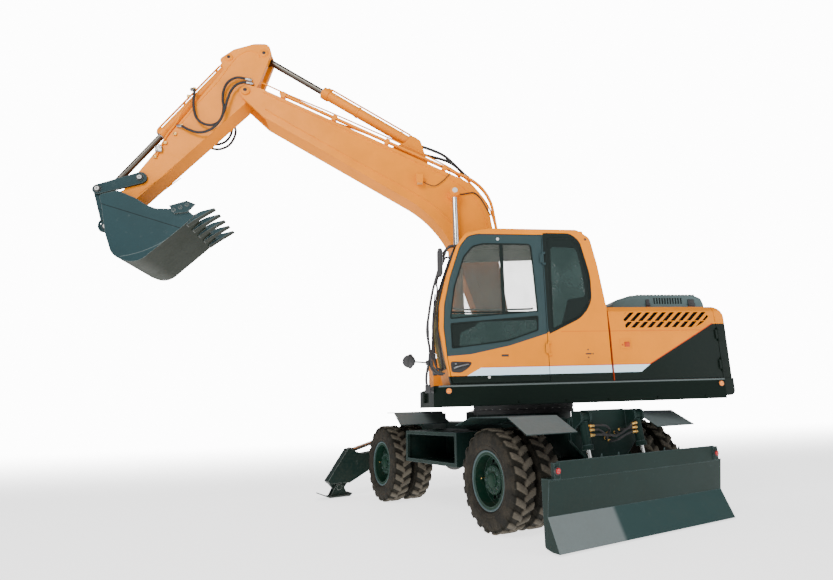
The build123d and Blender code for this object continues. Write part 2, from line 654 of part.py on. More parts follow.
def marker_lamps():
    """Round side lamps low on both sides."""
    lamps = []
    for x in MARKER_X:
        lamp = rod((x, UPPER_HALF_W, MARKER_Z), (x, UPPER_HALF_W + 12, MARKER_Z), 30)
        lamp = fillet(lamp.edges().sort_by(Axis.Y)[-1], 8)
        lamps += [lamp, mirrored(lamp)]
    return lamps


def counterweight():
    """Cast weight with a round tail of the tail swing radius."""
    low = Pos(0, 0, SKIRT_Z[0] + 30) * Cylinder(TAIL_R, SKIRT_Z[1] - SKIRT_Z[0] - 30, align=UP)
    low = fillet(low.edges().sort_by(Axis.Z)[0], 60)
    high = Pos(0, 0, SKIRT_Z[1]) * Cylinder(TAIL_R - 14, PANEL_TOP - SKIRT_Z[1], align=UP)
    high = fillet(high.edges().sort_by(Axis.Z)[-1], 150)
    keep = box((-TAIL_R - 50, SEAM_X), (-UPPER_HALF_W, UPPER_HALF_W), (SKIRT_Z[0], PANEL_TOP + 50))
    body = (low + high) & keep
    lean = [(SIDE_Y, SKIRT_Z[1]), (UPPER_HALF_W + 1, SKIRT_Z[1]), (UPPER_HALF_W + 1, PANEL_TOP + 1),
            (PANEL_TOP_Y - 40, PANEL_TOP + 1), (PANEL_TOP_Y + 6, PANEL_TOP - 60), (SIDE_Y, CREASE_Z)]
    trim = cross_plate(lean, -TAIL_R, SEAM_X + 1)
    body = body - trim - mirrored(trim)
    for z in SIDE_HINGES:
        pin = hinge_pin(SEAM_X + PANEL_GAP / 2, z)
        body += pin + mirrored(pin)
    return body


def hinge_pin(x, z):
    """Upright hinge pin between two blocks on the fixed side, which lies behind x."""
    y = SIDE_Y + HINGE_OUT
    part = rod((x, y, z - HINGE_H / 2 - HINGE_BLOCK), (x, y, z + HINGE_H / 2 + HINGE_BLOCK), HINGE_PIN_R)
    for low in (z - HINGE_H / 2 - HINGE_BLOCK, z + HINGE_H / 2):
        part += rod((x, y, low), (x, y, low + HINGE_BLOCK), HINGE_R)
        part += box((x - 30, x), (y - HINGE_R, y + HINGE_R), (low, low + HINGE_BLOCK))
        part += box((x - 30, x - 3), (SIDE_Y - 10, y - HINGE_R + 1), (low, low + HINGE_BLOCK))
    return part


def hinge_sleeve(x, z):
    """Sleeve round a hinge pin with its leaf on the moving side, which lies before x."""
    y = SIDE_Y + HINGE_OUT
    low, high = z - HINGE_H / 2 + EYE_PLAY, z + HINGE_H / 2 - EYE_PLAY
    part = rod((x, y, low), (x, y, high), HINGE_R) + box((x, x + 34), (SIDE_Y - 6, y + 4), (low, high))
    part -= box((x - 1, x + 3), (SIDE_Y - 7, SIDE_Y + 2), (low, high))
    return part - rod((x, y, low - 1), (x, y, high + 1), HINGE_PIN_R + PIN_PLAY)


def louvres():
    """Two rows of slanted slots, kept inside the field that follows the body's lines."""
    slots = Part()
    for z0, z1 in LOUVRE_ROWS:
        lean = (z1 - z0) * LOUVRE_LEAN
        for i in range(-1, 11):
            x = LOUVRE_FRONT - LOUVRE_PITCH * i
            rows = [(x, z0), (x - LOUVRE_W, z0), (x - LOUVRE_W - lean, z1), (x - lean, z1)]
            slots += side_plate(rows, PANEL_TOP_Y - 90, SIDE_Y + 10)
    return slots & side_plate(LOUVRE_FIELD, PANEL_TOP_Y - 90, SIDE_Y + 10)


def side_door():
    """Body side door, creased and leaning in above, with two rows of slanted louvres."""
    t = PANEL_T
    rows = [(SIDE_Y, SKIRT_Z[1] + PANEL_GAP), (SIDE_Y, CREASE_Z), (PANEL_TOP_Y + 6, PANEL_TOP - 60, 30),
            (PANEL_TOP_Y - 50, PANEL_TOP), (PANEL_TOP_Y - 80, PANEL_TOP), (PANEL_TOP_Y - 80, PANEL_TOP - t),
            (PANEL_TOP_Y + 6 - t, PANEL_TOP - 70), (SIDE_Y - t, CREASE_Z), (SIDE_Y - t, SKIRT_Z[1]
                                                                            + PANEL_GAP)]
    door = cross_plate(rows, SEAM_X + PANEL_GAP, PANEL_SPLIT_X - PANEL_GAP) - louvres()
    for z in SIDE_HINGES:
        door += hinge_sleeve(SEAM_X + PANEL_GAP / 2, z)
    return door


def deck_housing():
    """Fixed housing behind the cab: two bulkheads under a lid with the hood's opening."""
    edge = PANEL_TOP_Y - 80 - PANEL_GAP
    x0, x1 = SEAM_X + PANEL_GAP, PANEL_SPLIT_X - PANEL_GAP
    lid = box((SEAM_X, x1), (-edge, edge), (PANEL_TOP - 30, PANEL_TOP))
    lid -= box(HOOD_HOLE_X, HOOD_HOLE_Y, (PANEL_TOP - 40, PANEL_TOP + 10))
    body = lid
    for x in (x1 - 30, SEAM_X):
        body += box((x, x + 30), (-edge + 30, edge - 30), (SKIRT_Z[1], PANEL_TOP - 20))
    for y in (edge - 60, -edge + 30):
        body += box((SEAM_X, x1), (y, y + 30), (PANEL_TOP - 110, PANEL_TOP - 20))
    y, z = HOOD_HINGE
    for x in HOOD_HINGE_X:
        for low in (x - EYE_PLAY - HINGE_BLOCK, x + HINGE_H + EYE_PLAY):
            body += box((low, low + HINGE_BLOCK), (y - 13, y + 13), (PANEL_TOP - 1, z + 12))
        body += rod((x - HINGE_BLOCK, y, z), (x + HINGE_H + HINGE_BLOCK, y, z), HINGE_PIN_R)
    return body


def engine_hood():
    """Raised hollow cover over the engine with sloped ends and vent slots."""
    rows = [(-2370, PANEL_TOP + PANEL_GAP), (-2412, 2505, 40), (-2378, 2600, 60), (-2280, 2640, 60),
            (-1570, 2650, 80), (-1370, 2638, 80), (-1172, 2580, 50), (-1118, 2530, 20),
            (-1118, PANEL_TOP + PANEL_GAP)]
    inner = [(-2353, PANEL_TOP), (-2394, 2506, 30), (-2363, 2590, 45), (-2276, 2622, 45), (-1572, 2632, 60),
             (-1374, 2620, 60), (-1184, 2565, 30), (-1136, 2522, 10), (-1136, PANEL_TOP)]
    cover = side_plate(rows, HOOD_Y[0], HOOD_Y[1]) - side_plate(inner, HOOD_Y[0] + 16, HOOD_Y[1] - 16)
    for i in range(HOOD_SLOTS):
        x = HOOD_SLOT_X - HOOD_SLOT_PITCH * i
        cover -= box((x - 20, x), (HOOD_Y[1] - 60, HOOD_Y[1] + 1), (2525, 2605))
        cover -= box((x - 20, x), (HOOD_Y[1] - 330, HOOD_Y[1] - 90), (2610, 2660))
        cover -= box((x - 20, x), (HOOD_Y[0] + 90, HOOD_Y[0] + 330), (2610, 2660))
    y, z = HOOD_HINGE
    for x in HOOD_HINGE_X:
        cover += rod((x, y, z), (x + HINGE_H, y, z), HINGE_R + 2) + box((x, x + HINGE_H), (y, HOOD_Y[0] + 4),
                                                                        (z - 9, z + 12))
        cover -= rod((x - 1, y, z), (x + HINGE_H + 1, y, z), HINGE_PIN_R + PIN_PLAY)
    return cover


def cab_profile(grow):
    """Side outline of the cab, moved outwards by grow."""
    return [(1100 + grow, CAB_FLOOR - grow), (1170 + grow, 1830), (1225 + grow, 2150, 400),
            (1215 + grow, 2420, 400),
            (1140 + grow, 2730, 500), (1000 + grow, 3130 + grow / 2, 300), (890, CAB_ROOF - 60 + grow, 120),
            (600, CAB_ROOF + grow, 400), (-480, CAB_ROOF + grow, 110), (-640 - grow, 3240 + grow, 110),
            (-710 - grow, 2900, 900), (CAB_REAR_X - grow, 2380, 60), (CAB_REAR_X - grow, CAB_FLOOR - grow)]


def door_rows(grow):
    """Outline of the cab door, moved outwards by grow."""
    rear = DOOR_X + PANEL_GAP - grow
    return [(1085 + grow, CAB_FLOOR + 20 - grow), (1135 + grow, 1830), (1168 + grow, 2150, 400),
            (1157 + grow, 2420, 400), (1085 + grow, 2740, 500), (960 + grow, 3110 + grow / 2, 200),
            (870, 3230 + grow, 110), (760, 3262 + grow, 200), (rear, 3262 + grow, 20), (rear, CAB_FLOOR + 20
                                                                                        - grow)]


# Window outlines of the left side, rows of (x, z, radius)
DOOR_WINDOW = [(1100, 2250, 20), (1050, 2620, 500), (930, 2985, 200), (820, 3120, 120), (690, 3155, 200),
               (100, 3155, 60), (60, 2330, 20)]
DOOR_LOW_WINDOW = [(1085, 1915, 20), (1095, 2205, 20), (62, 2285, 20), (72, 2110, 20), (430, 1990, 400)]
QUARTER_WINDOW = [(-90, 3240, 20), (-400, 3240, 100), (-515, 3130, 60), (-590, 2740, 600), (-585, 2450, 150),
                  (-450, 2265, 100), (-90, 2110, 20)]
RIGHT_WINDOW = [(1070, 2050, 60), (1060, 2640, 300), (880, 3120, 100), (-430, 3180, 100), (-560, 2700, 300),
                (-600, 2050, 60)]


def window(rows, y0, y1, inset=0.0):
    """Prism of a window outline, drawn in by inset."""
    face = outline(rows, lambda u, v: (u, y0, v))
    if inset:
        face = offset(face, amount=-inset)
    return extrude(face, amount=y1 - y0, dir=(0, 1, 0))


def front_opening(inset=0.0):
    """Windscreen opening seen from the front."""
    return cross_plate([(CAB_IN_Y + 70 + inset, 1700 + inset), (SIDE_Y - 75 - inset, 1700 + inset),
                        (SIDE_Y - 75 - inset, 3150 - inset), (CAB_IN_Y + 70 + inset, 3150
                                                              - inset)], 900, 1400)


def rear_opening(inset=0.0):
    """Rear window opening seen along the cab."""
    return cross_plate([(CAB_IN_Y + 120 + inset, 2450 + inset), (SIDE_Y - 120 - inset, 2450 + inset),
                        (SIDE_Y - 140 - inset, 3120 - inset), (CAB_IN_Y + 140 + inset, 3120
                                                               - inset)], -900, -560)


def cab_shell():
    """Hollow cab with a doorway, windscreen, side and rear windows cut."""
    outer = side_plate(cab_profile(0), CAB_IN_Y, SIDE_Y)
    inner = side_plate(cab_profile(-CAB_WALL), CAB_IN_Y + CAB_WALL, SIDE_Y - CAB_WALL)
    shell = outer - inner
    shell -= side_plate(door_rows(PANEL_GAP), SIDE_Y - CAB_WALL - 1, SIDE_Y + 1)
    shell -= window(QUARTER_WINDOW, SIDE_Y - CAB_WALL - 1, SIDE_Y + 1)
    shell -= window(RIGHT_WINDOW, CAB_IN_Y - 1, CAB_IN_Y + CAB_WALL + 1)
    shell -= front_opening()
    shell -= rear_opening()
    for z in CAB_HINGES:
        shell += hinge_pin(DOOR_X + PANEL_GAP / 2, z)
    return shell


def cab_glass():
    """Windscreen, quarter, right and rear panes seated in their openings."""
    band = side_plate(cab_profile(-16), CAB_IN_Y, SIDE_Y) - side_plate(cab_profile(-16 - GLASS_T), CAB_IN_Y
                                                                       - 1, SIDE_Y + 1)
    screen = band & front_opening(GLASS_PLAY)
    rear = band & rear_opening(GLASS_PLAY)
    quarter = window(QUARTER_WINDOW, SIDE_Y - 18, SIDE_Y - 18 + GLASS_T, GLASS_PLAY)
    right = window(RIGHT_WINDOW, CAB_IN_Y + 18, CAB_IN_Y + 18 + GLASS_T, GLASS_PLAY)
    return [screen, rear, quarter, right]


def cab_door():
    """Door with an upper and a lower window opening."""
    panel = side_plate(door_rows(0), SIDE_Y - DOOR_T, SIDE_Y)
    panel -= window(DOOR_WINDOW, SIDE_Y - DOOR_T - 1, SIDE_Y + 1)
    panel -= window(DOOR_LOW_WINDOW, SIDE_Y - DOOR_T - 1, SIDE_Y + 1)
    for z in CAB_HINGES:
        panel += hinge_sleeve(DOOR_X + PANEL_GAP / 2, z)
    return panel


def door_glass():
    """Both panes of the cab door."""
    return [window(rows, SIDE_Y - 18, SIDE_Y - 18 + GLASS_T, GLASS_PLAY) for rows in (DOOR_WINDOW,
                                                                                      DOOR_LOW_WINDOW)]


def seat():
    """Driver's seat on its base."""
    base = box((-300, 160), (660, 960), (CAB_FLOOR + CAB_WALL, 1900))
    cushion = fillet(box((-330, 200), (585, 1035), (1900, 2020)).edges(), 30)
    back = fillet(side_plate([(-330, 1960), (-230, 1960), (-330, 2640), (-430, 2640)], 595, 1025).edges(), 25)
    head = fillet(side_plate([(-350, 2600), (-420, 2600), (-440, 2830), (-360, 2830)], 690, 930).edges(), 20)
    return base + cushion + back + head


def controls():
    """Steering column with its wheel and a console each side of the seat."""
    floor = CAB_FLOOR + CAB_WALL
    column = rod((820, 810, floor + 40), (640, 810, 2240), 45) + box((720, 940), (710, 910),
                                                                     (floor, floor + 120))
    place = Plane(origin=(635, 810, 2250), z_dir=(-0.45, 0, 1))
    column += place * (Torus(185, 15) + Box(360, 26, 14) + Box(26, 360, 14) + Cylinder(50, 34))
    parts = [column]
    for y in (470, 1045):
        console = fillet(box((-260, 320), (y, y + 100), (2030, 2130)).edges(), 20)
        console += box((-200, 0), (y + 25, y + 85), (floor, 2040))
        console += rod((260, y + 55, 2120), (290, y + 55, 2290), 12) + Pos(292, y + 55, 2310) * Sphere(34)
        parts.append(console)
    return parts


def tanks():
    """Step box, fuel tank and hydraulic tank along the right side."""
    blocks = []
    table = ((560, 1150, SKIRT_Z[1], 1960), (-120, 552, SKIRT_Z[1], 2330),
             (-785 + PANEL_GAP, -128, SKIRT_Z[1], 2392))
    for x0, x1, z0, z1 in table:
        block = box((x0, x1), (-SIDE_Y, -420), (z0, z1))
        block = fillet(block.edges().filter_by(Axis.X).group_by(Axis.Z)[-1], 60)
        blocks.append(block)
    return blocks


def engine():
    """Engine and pump as one plain block on the deck's centre beams."""
    return box((-2020, -1180), (-390, 400), (SKIRT_Z[1], 2300))


def tube(points, radius):
    """A bent round bar through a row of points."""
    path = Spline(*points)
    return sweep(Plane(origin=path @ 0, z_dir=path % 0) * Circle(radius), path=path)


def grab_rails():
    """Curved guard rail before the cab with the round mirror on its post, and a rail on the right."""
    y = SIDE_Y - 60
    cab = side_plate(cab_profile(0), CAB_IN_Y, SIDE_Y)
    deck = box((0, SKIRT_FRONT_X), (-UPPER_HALF_W, UPPER_HALF_W), SKIRT_Z)
    guard = tube([(x, y, z) for x, z in GUARD_RAIL], 15) - cab
    post = tube([(1250, y, 1440), (1352, y, 1500), (1356, y, 1700), (1330, y, 1876)], 15)
    stalk = rod((1350, y, 1770), (1530, y + 20, 1785), 9)
    glass = rod((1535, y, 1790), (1560, y + 6, 1790), 78)
    rail = tube([(1080, 60 - SIDE_Y, 1960), (1080, 60 - SIDE_Y, 2200), (900, 60 - SIDE_Y, 2420),
                 (640, 60 - SIDE_Y, 2420), (480, 60 - SIDE_Y, 2330)], 17)
    for block in tanks():
        rail -= block
    mx, mz = CAB_MIRROR
    mirror = fillet(box((mx, mx + 52), (y - 2, y + 150), (mz - 160, mz + 160)).edges(), 22)
    return [guard + mirror - cab, post + stalk + glass - deck, rail]


def boom_back(lift):
    """Start, rounded corner and end of the boom's back line, moved outwards by lift."""
    (ax, az), (bx, bz), (cx, cz) = BOOM_BACK
    first, second = math.dist(BOOM_BACK[0], BOOM_BACK[1]), math.dist(BOOM_BACK[1], BOOM_BACK[2])
    nx, nz = (az - bz) / first, (bx - ax) / first
    mx, mz = (bz - cz) / second, (cx - bx) / second
    grow = lift / (1 + nx * mx + nz * mz)
    return ((ax + nx * lift, az + nz * lift), (bx + (nx + mx) * grow, bz + (nz + mz) * grow),
            (cx + mx * lift, cz + mz * lift))


def pipe(y):
    """One steel pipe along the boom's back and top, lifted clear of the plate."""
    low, bend, high = boom_back(PIPE_LIFT)
    start, end = along(bend, low, PIPE_START), along(high, bend, PIPE_SHORT)
    arc = corner(start, bend, end, BOOM_BEND_R + PIPE_LIFT)
    points = [start, arc[0], arc[1], arc[2], end]
    a, b, c, d, e = [(p[0], y, p[1]) for p in points]
    path = Wire([Line(a, b), ThreePointArc(b, c, d), Line(d, e)])
    return sweep(Plane(origin=path @ 0, z_dir=path % 0) * Circle(PIPE_R), path=path)


def boom_pipes():
    """Two pairs of pipes with their clamps."""
    bend, high = boom_back(SEAT_PLAY)[1:]
    parts = []
    for sign in (1, -1):
        group = pipe(sign * PIPE_Y[0]) + pipe(sign * PIPE_Y[1])
        low_y, high_y = sorted((sign * (PIPE_Y[0] - 18), sign * (PIPE_Y[1] + 20)))
        for t in CLAMPS:
            a, b = along(bend, high, t), along(bend, high, t + 56)
            up = ((a[1] - b[1]) / 56 * 84, (b[0] - a[0]) / 56 * 84)
            group += side_plate([a, b, (b[0] + up[0], b[1] + up[1]), (a[0] + up[0], a[1] + up[1])], low_y,
                                high_y)
        parts.append(group)
    return parts


def work_lamp():
    """Square lamp on a bracket at the boom's left side."""
    x, z = WORK_LAMP
    y = BOOM_HALF_W + SEAT_PLAY
    bracket = box((x - 50, x + 50), (y, y + 12), (z - 20, z + 60)) + box((x - 12, x + 12), (y, y + 60),
                                                                         (z - 6, z + 6))
    case = fillet(box((x - 48, x + 48), (y + 34, y + 104), (z - 110, z + 30)).edges(), 9)
    return [bracket + case]


# Boom, arm and bucket

def boom():
    """Cranked box boom with a fork for the arm, cylinder ears and pin bosses."""
    bx, bz = BOOM_FOOT
    tx, tz = BOOM_TIP
    back, bend, top = BOOM_BACK
    rows = [back, (*bend, BOOM_BEND_R), (*top, 200), (tx - 10, tz + 100, 90), (tx + 100, tz + 10, 90),
            (tx + 40, tz - 100, 90), (3480, 5220, 60), (1046, 3793, 1500), (bx + 150, bz)]
    body = side_plate(rows, -BOOM_HALF_W, BOOM_HALF_W)
    body += cross_pin(BOOM_FOOT, -BOOM_HALF_W, BOOM_HALF_W, 150)
    slot = cross_pin(BOOM_TIP, -ARM_HALF_W - FORK_GAP, ARM_HALF_W + FORK_GAP, FORK_R)
    body -= slot
    body -= cross_pin(BOOM_FOOT, -BOOM_HALF_W - 1, BOOM_HALF_W + 1, PIN_R + PIN_PLAY)
    body += cross_pin(BOOM_TIP, -BOOM_HALF_W - 12, BOOM_HALF_W + 12)
    for y in (-ARM_EYE / 2 - EYE_PLAY - 30, ARM_EYE / 2 + EYE_PLAY):
        fx, fz = ARM_CYL_FOOT
        body += side_plate([(fx - 190, fz - 330), (fx - 90, fz + 20, 80), (fx + 40, fz + 110, 90),
                            (fx + 120, fz - 10, 60),
                            (fx + 330, fz - 110), (fx + 330, fz - 190)], y, y + 30)
    half = ARM_EYE / 2 + 30
    body += cross_pin(ARM_CYL_FOOT, -half, half)
    for sign in (1, -1):
        low, high = sorted((sign * (BOOM_HALF_W - 10), sign * (BOOM_CYL_Y - BOOM_CYL_EYE - EYE_PLAY)))
        body += cross_pin(BOOM_CYL_ROD, low, high, 90)
    return body


def arm():
    """Tapered box arm with ears for the arm cylinder rod and the bucket cylinder foot."""
    rows = [(3440, 6250, 60), (3480, 6400, 90), (3680, 6385, 120), (3950, 6275, 90), (4130, 6110, 60),
            (4060, 5950, 30),
            (5140, 4130, 60), (5245, 3965, 90), (5140, 3865, 90), (5040, 3935, 60), (3750, 5430,
                                                                                     200), (3575, 5760, 200)]
    body = side_plate(rows, -ARM_HALF_W, ARM_HALF_W)
    rx, rz = ARM_CYL_ROD
    slot = [(rx + 100, rz - 30), (rx + 20, rz - 640), (rx - 400, rz - 640), (rx - 400, rz + 400),
            (rx + 300, rz + 400),
            (rx + 290, rz + 180), (rx + 222, rz + 118), (rx + 178, rz + 70), (rx + 145, rz + 22)]
    body -= side_plate(slot, -ARM_EYE / 2 - EYE_PLAY, ARM_EYE / 2 + EYE_PLAY)
    channel = [band_point(s, w) for s, w in ((-130, -95), (640, -95), (640, 300), (-130, 300))]
    body -= side_plate(channel, -BUCKET_EYE / 2 - EYE_PLAY, BUCKET_EYE / 2 + EYE_PLAY)
    body += cross_pin(BUCKET_CYL_FOOT, -ARM_HALF_W, ARM_HALF_W)
    for pin in (BOOM_TIP, ROCKER_PIN, ARM_TIP):
        body -= cross_pin(pin, -ARM_HALF_W - 1, ARM_HALF_W + 1, PIN_R + PIN_PLAY)
    return body


def band_point(s, w):
    """Point s along and w above the bucket cylinder's line, from its foot."""
    (ax, az), (bx, bz) = BUCKET_CYL_FOOT, LINK_PIN
    length = math.dist(BUCKET_CYL_FOOT, LINK_PIN)
    ux, uz = (bx - ax) / length, (bz - az) / length
    return (ax + ux * s - uz * w, az + uz * s + ux * w)


def rocker():
    """Two side links between arm and link pin, joined by the arm's pin."""
    inner, outer = ARM_HALF_W + 6, ARM_HALF_W + 6 + LINK_T
    body = cross_pin(ROCKER_PIN, -outer, outer)
    for sign in (1, -1):
        low, high = sorted((sign * inner, sign * outer))
        body += tangent_bar(ROCKER_PIN, 78, LINK_PIN, 66, low, high)
        low, high = sorted((sign * (ROD_EYE + 4), sign * outer))
        body += cross_pin(LINK_PIN, low, high)
        for pin, r in ((ROCKER_PIN, 46), (LINK_PIN, 44)):
            low, high = sorted((sign * outer, sign * (outer + 14)))
            body += cross_pin(pin, low, high, r)
    return body


def bucket_link():
    """Link between the rocker's outer pin and the bucket's rear ears."""
    body = cross_pin(BUCKET_PIN, -BUCKET_EAR_Y + EYE_PLAY, BUCKET_EAR_Y - EYE_PLAY, 66)
    for sign in (1, -1):
        low, high = sorted((sign * 100, sign * (BUCKET_EAR_Y - EYE_PLAY)))
        body += tangent_bar(LINK_PIN, 66, BUCKET_PIN, 66, low, high)
        low, high = sorted((sign * 99, sign * BUCKET_EAR_Y))
        body -= cross_pin(LINK_PIN, low, high, PIN_R + PIN_PLAY)
    return body


def bucket_side(y0, y1):
    """Side plate of the bucket."""
    rows = [(5050, 3970, 60), (5250, 3912, 40), (5205, 3780), (5120, 3410, 300), (5020, 3150, 200),
            (4750, 3040, 220),
            (4300, 3490), (4140, 3660), (4250, 3755), (4460, 3750), (4590, 3750, 100), (4700, 3790,
                                                                                        100), (4840, 3880)]
    return side_plate(rows, y0, y1)


def bucket():
    """Curled bucket shell with side plates, ears, side cutters and pointed teeth."""
    outer = [(4140, 3660), (4300, 3490), (4750, 3040, 220), (5020, 3150, 200), (5120, 3410, 300),
             (5195, 3745, 60),
             (4960, 3850)]
    inner = [(4960, 3829), (5172, 3732, 45), (5101, 3415, 280), (5005, 3163, 185), (4753, 3066, 200),
             (4314, 3502),
             (4158, 3668)]
    wall = side_plate(outer + inner, -BUCKET_HALF_W, BUCKET_HALF_W)
    body = wall + bucket_side(BUCKET_HALF_W - 22, BUCKET_HALF_W) + bucket_side(-BUCKET_HALF_W, 22
                                                                               - BUCKET_HALF_W)
    ear = tangent_bar(ARM_TIP, 96, BUCKET_PIN, 80, BUCKET_EAR_Y, BUCKET_EAR_Y + 36)
    ear += side_plate([(5060, 3920), (5320, 3560), (5200, 3520), (5120, 3420), (5180, 3740), (4990, 3830)],
                      BUCKET_EAR_Y, BUCKET_EAR_Y + 36)
    ear -= side_plate(inner + [(4300, 4400), (4600, 4100)], BUCKET_EAR_Y - 1, BUCKET_EAR_Y + 37)
    ear += cross_pin(ARM_TIP, 0, BUCKET_EAR_Y + 50)
    ear += cross_pin(BUCKET_PIN, BUCKET_EAR_Y + 30, BUCKET_EAR_Y + 50)
    cutter = side_plate([(4440, 3780), (4240, 3850), (4140, 3810), (4225, 3700), (4370, 3680)],
                        BUCKET_HALF_W - 1, BUCKET_HALF_W + 26)
    body += ear + mirrored(ear) + cutter + mirrored(cutter)
    for i in range(-2, 3):
        y = i * TOOTH_PITCH
        tooth = side_plate([(4230, 3545), (4130, 3625), (3932, 3766), (3926, 3778), (4080, 3730),
                            (4200, 3655)], y - 46, y + 46)
        body += tooth
    return body


BODY_MAKERS = (
    (row, chassis_frame, "chassis_frame"), (row, slew_ring, "slew_ring"), (row, rear_axle, "rear_axle"),
    (row, front_axle, "front_axle"), (row, drive_line, "drive_line"), (row, blade, "blade"),
    (None, upper_frame, "upper_frame"), (None, counterweight, "counterweight"),
    (None, deck_housing, "deck_housing"), (None, engine_hood, "engine_hood"), (None, cab_shell, "cab_shell"),
    (None, cab_door, "cab_door"), (None, seat, "seat"), (None, engine, "engine_block"), (None, boom, "boom"),
    (None, arm, "arm"), (None, rocker, "rocker"), (None, bucket_link, "bucket_link"), (None, bucket,
                                                                                       "bucket"),
)

for turn, maker, node in BODY_MAKERS:
    shape = maker()
    save(turn(shape) if turn else shape, node)

save_solids([row(f) for f in (rear_fender(), mirrored(rear_fender()), front_fender(),
                              mirrored(front_fender()))], "fenders")
save_solids([row(tool_box()), row(mirrored(tool_box()))], "tool_boxes")
save_solids([row(s) for s in blade_lamps()], "blade_lamps")
save_solids(cab_glass(), "cab_glass")
save_solids(door_glass(), "cab_door_glass")
save_solids(controls(), "cab_controls")
save_solids(tanks(), "tanks")
save_solids(grab_rails(), "grab_rails")
save_solids(marker_lamps(), "marker_lamps")
save_solids(boom_pipes(), "boom_pipes")
save_solids(work_lamp(), "work_lamp")

for end, x in (("rear", REAR_AXLE_X), ("front", FRONT_AXLE_X)):
    for side, sign in (("left", 1), ("right", -1)):
        save_solids([row(t) for t in wheel_tyres(x, sign)], f"tyres_{end}_{side}")
        save(row(wheel_rims(x, sign)), f"rims_{end}_{side}")

TUBE, BAR = rigger_cylinder()
for side, flip in (("left", lambda s: s), ("right", mirrored)):
    save(row(flip(knuckle())), f"knuckle_{side}")
    save(row(flip(rigger_leg())), f"outrigger_leg_{side}")
    save(row(flip(rigger_foot())), f"outrigger_foot_{side}")
    save(row(flip(TUBE)), f"outrigger_barrel_{side}")
    save(row(flip(BAR)), f"outrigger_rod_{side}")
    save(flip(side_door()), f"side_door_{side}")

# Lift cylinders of blade and boom come in pairs, each pair on one body
pair = [barrel(BLADE_CYL_PIN, BLADE_ROD_PIN, 330, BLADE_TUBE_R - 2, BLADE_BAR_R, BLADE_TUBE_R, y)
        for y in (BLADE_ARM_Y, -BLADE_ARM_Y)]
save_solids([row(s) for s in pair], "blade_barrels")
eye = BLADE_EYE / 2 - BLADE_CHEEK - EYE_PLAY
pair = [cylinder_rod(BLADE_CYL_PIN, BLADE_ROD_PIN, 300, BLADE_BAR_R, eye, 44, y) for y in (BLADE_ARM_Y,
                                                                                           -BLADE_ARM_Y)]
save_solids([row(s) for s in pair], "blade_rods")
pair = [barrel(BOOM_CYL_FOOT, BOOM_CYL_ROD, 1620, 68, 40, BOOM_CYL_EYE, y) for y in (BOOM_CYL_Y, -BOOM_CYL_Y)]
save_solids(pair, "boom_barrels")
pair = [cylinder_rod(BOOM_CYL_FOOT, BOOM_CYL_ROD, 1600, 40, BOOM_CYL_EYE, 72, y) for y in (BOOM_CYL_Y,
                                                                                           -BOOM_CYL_Y)]
save_solids(pair, "boom_rods")
save(barrel(ARM_CYL_FOOT, ARM_CYL_ROD, 1510, 75, 45, ARM_EYE / 2), "arm_barrel")
save(cylinder_rod(ARM_CYL_FOOT, ARM_CYL_ROD, 1590, 45, ARM_EYE / 2, 70), "arm_rod")
save(barrel(BUCKET_CYL_FOOT, LINK_PIN, 1430, 68, 40, BUCKET_EYE / 2), "bucket_barrel")
save(cylinder_rod(BUCKET_CYL_FOOT, LINK_PIN, 1500, 40, ROD_EYE, 62), "bucket_rod")
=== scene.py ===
import math

import bpy
import numpy as np
from bpy.props import FloatProperty, FloatVectorProperty, IntProperty, PointerProperty
from mathutils import Matrix, Vector


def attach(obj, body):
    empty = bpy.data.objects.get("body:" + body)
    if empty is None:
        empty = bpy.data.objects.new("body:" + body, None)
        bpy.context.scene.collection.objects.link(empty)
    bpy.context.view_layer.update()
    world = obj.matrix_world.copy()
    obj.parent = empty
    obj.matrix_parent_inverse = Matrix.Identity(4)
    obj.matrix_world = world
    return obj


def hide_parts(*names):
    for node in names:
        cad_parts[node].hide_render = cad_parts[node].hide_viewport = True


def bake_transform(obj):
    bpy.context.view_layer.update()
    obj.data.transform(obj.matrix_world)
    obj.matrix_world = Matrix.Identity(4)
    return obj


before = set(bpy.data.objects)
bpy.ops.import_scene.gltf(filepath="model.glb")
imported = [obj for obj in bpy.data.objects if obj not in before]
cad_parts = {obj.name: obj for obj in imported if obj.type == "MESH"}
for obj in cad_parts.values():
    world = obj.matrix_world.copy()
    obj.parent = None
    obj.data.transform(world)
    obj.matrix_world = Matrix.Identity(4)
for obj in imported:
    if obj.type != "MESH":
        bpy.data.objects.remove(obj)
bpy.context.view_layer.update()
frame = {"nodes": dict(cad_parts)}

bl_info = {
    "name": "Wheeled excavator",
    "version": (1, 0, 0),
    "blender": (4, 5, 0),
    "location": "3D View > Sidebar > Excavator",
    "description": "Dresses the excavator's rigid frame with finishes, treads, trim and hoses",
    "category": "Add Mesh",
}

# The undercarriage stands turned under the upper structure, seen from above.
SWING = math.radians(67)
# Camera: place, heading, pitch and roll in the frame, and the lens in pixels of the 833 by 580 photograph.
CAMERA_AT = (1.855, 7.457, 1.273)
CAMERA_YAW, CAMERA_PITCH, CAMERA_ROLL = (math.radians(a) for a in (-99.345, 14.018, -1.891))
PHOTO_W, PHOTO_H = 833, 580
FOCAL_PX = 558.56
CENTRE_PX = (471.84, 267.79)
SENSOR = 36.0
VIEW_END = 400
TAU = 2 * math.pi
LEFT, UP, REARWARD = (0, 1, 0), (0, 0, 1), (-1, 0, 0)
SIDES = (("left", 1), ("right", -1))
SHARP_ANGLE = math.radians(34)
FINISH = {}


# Shader maths

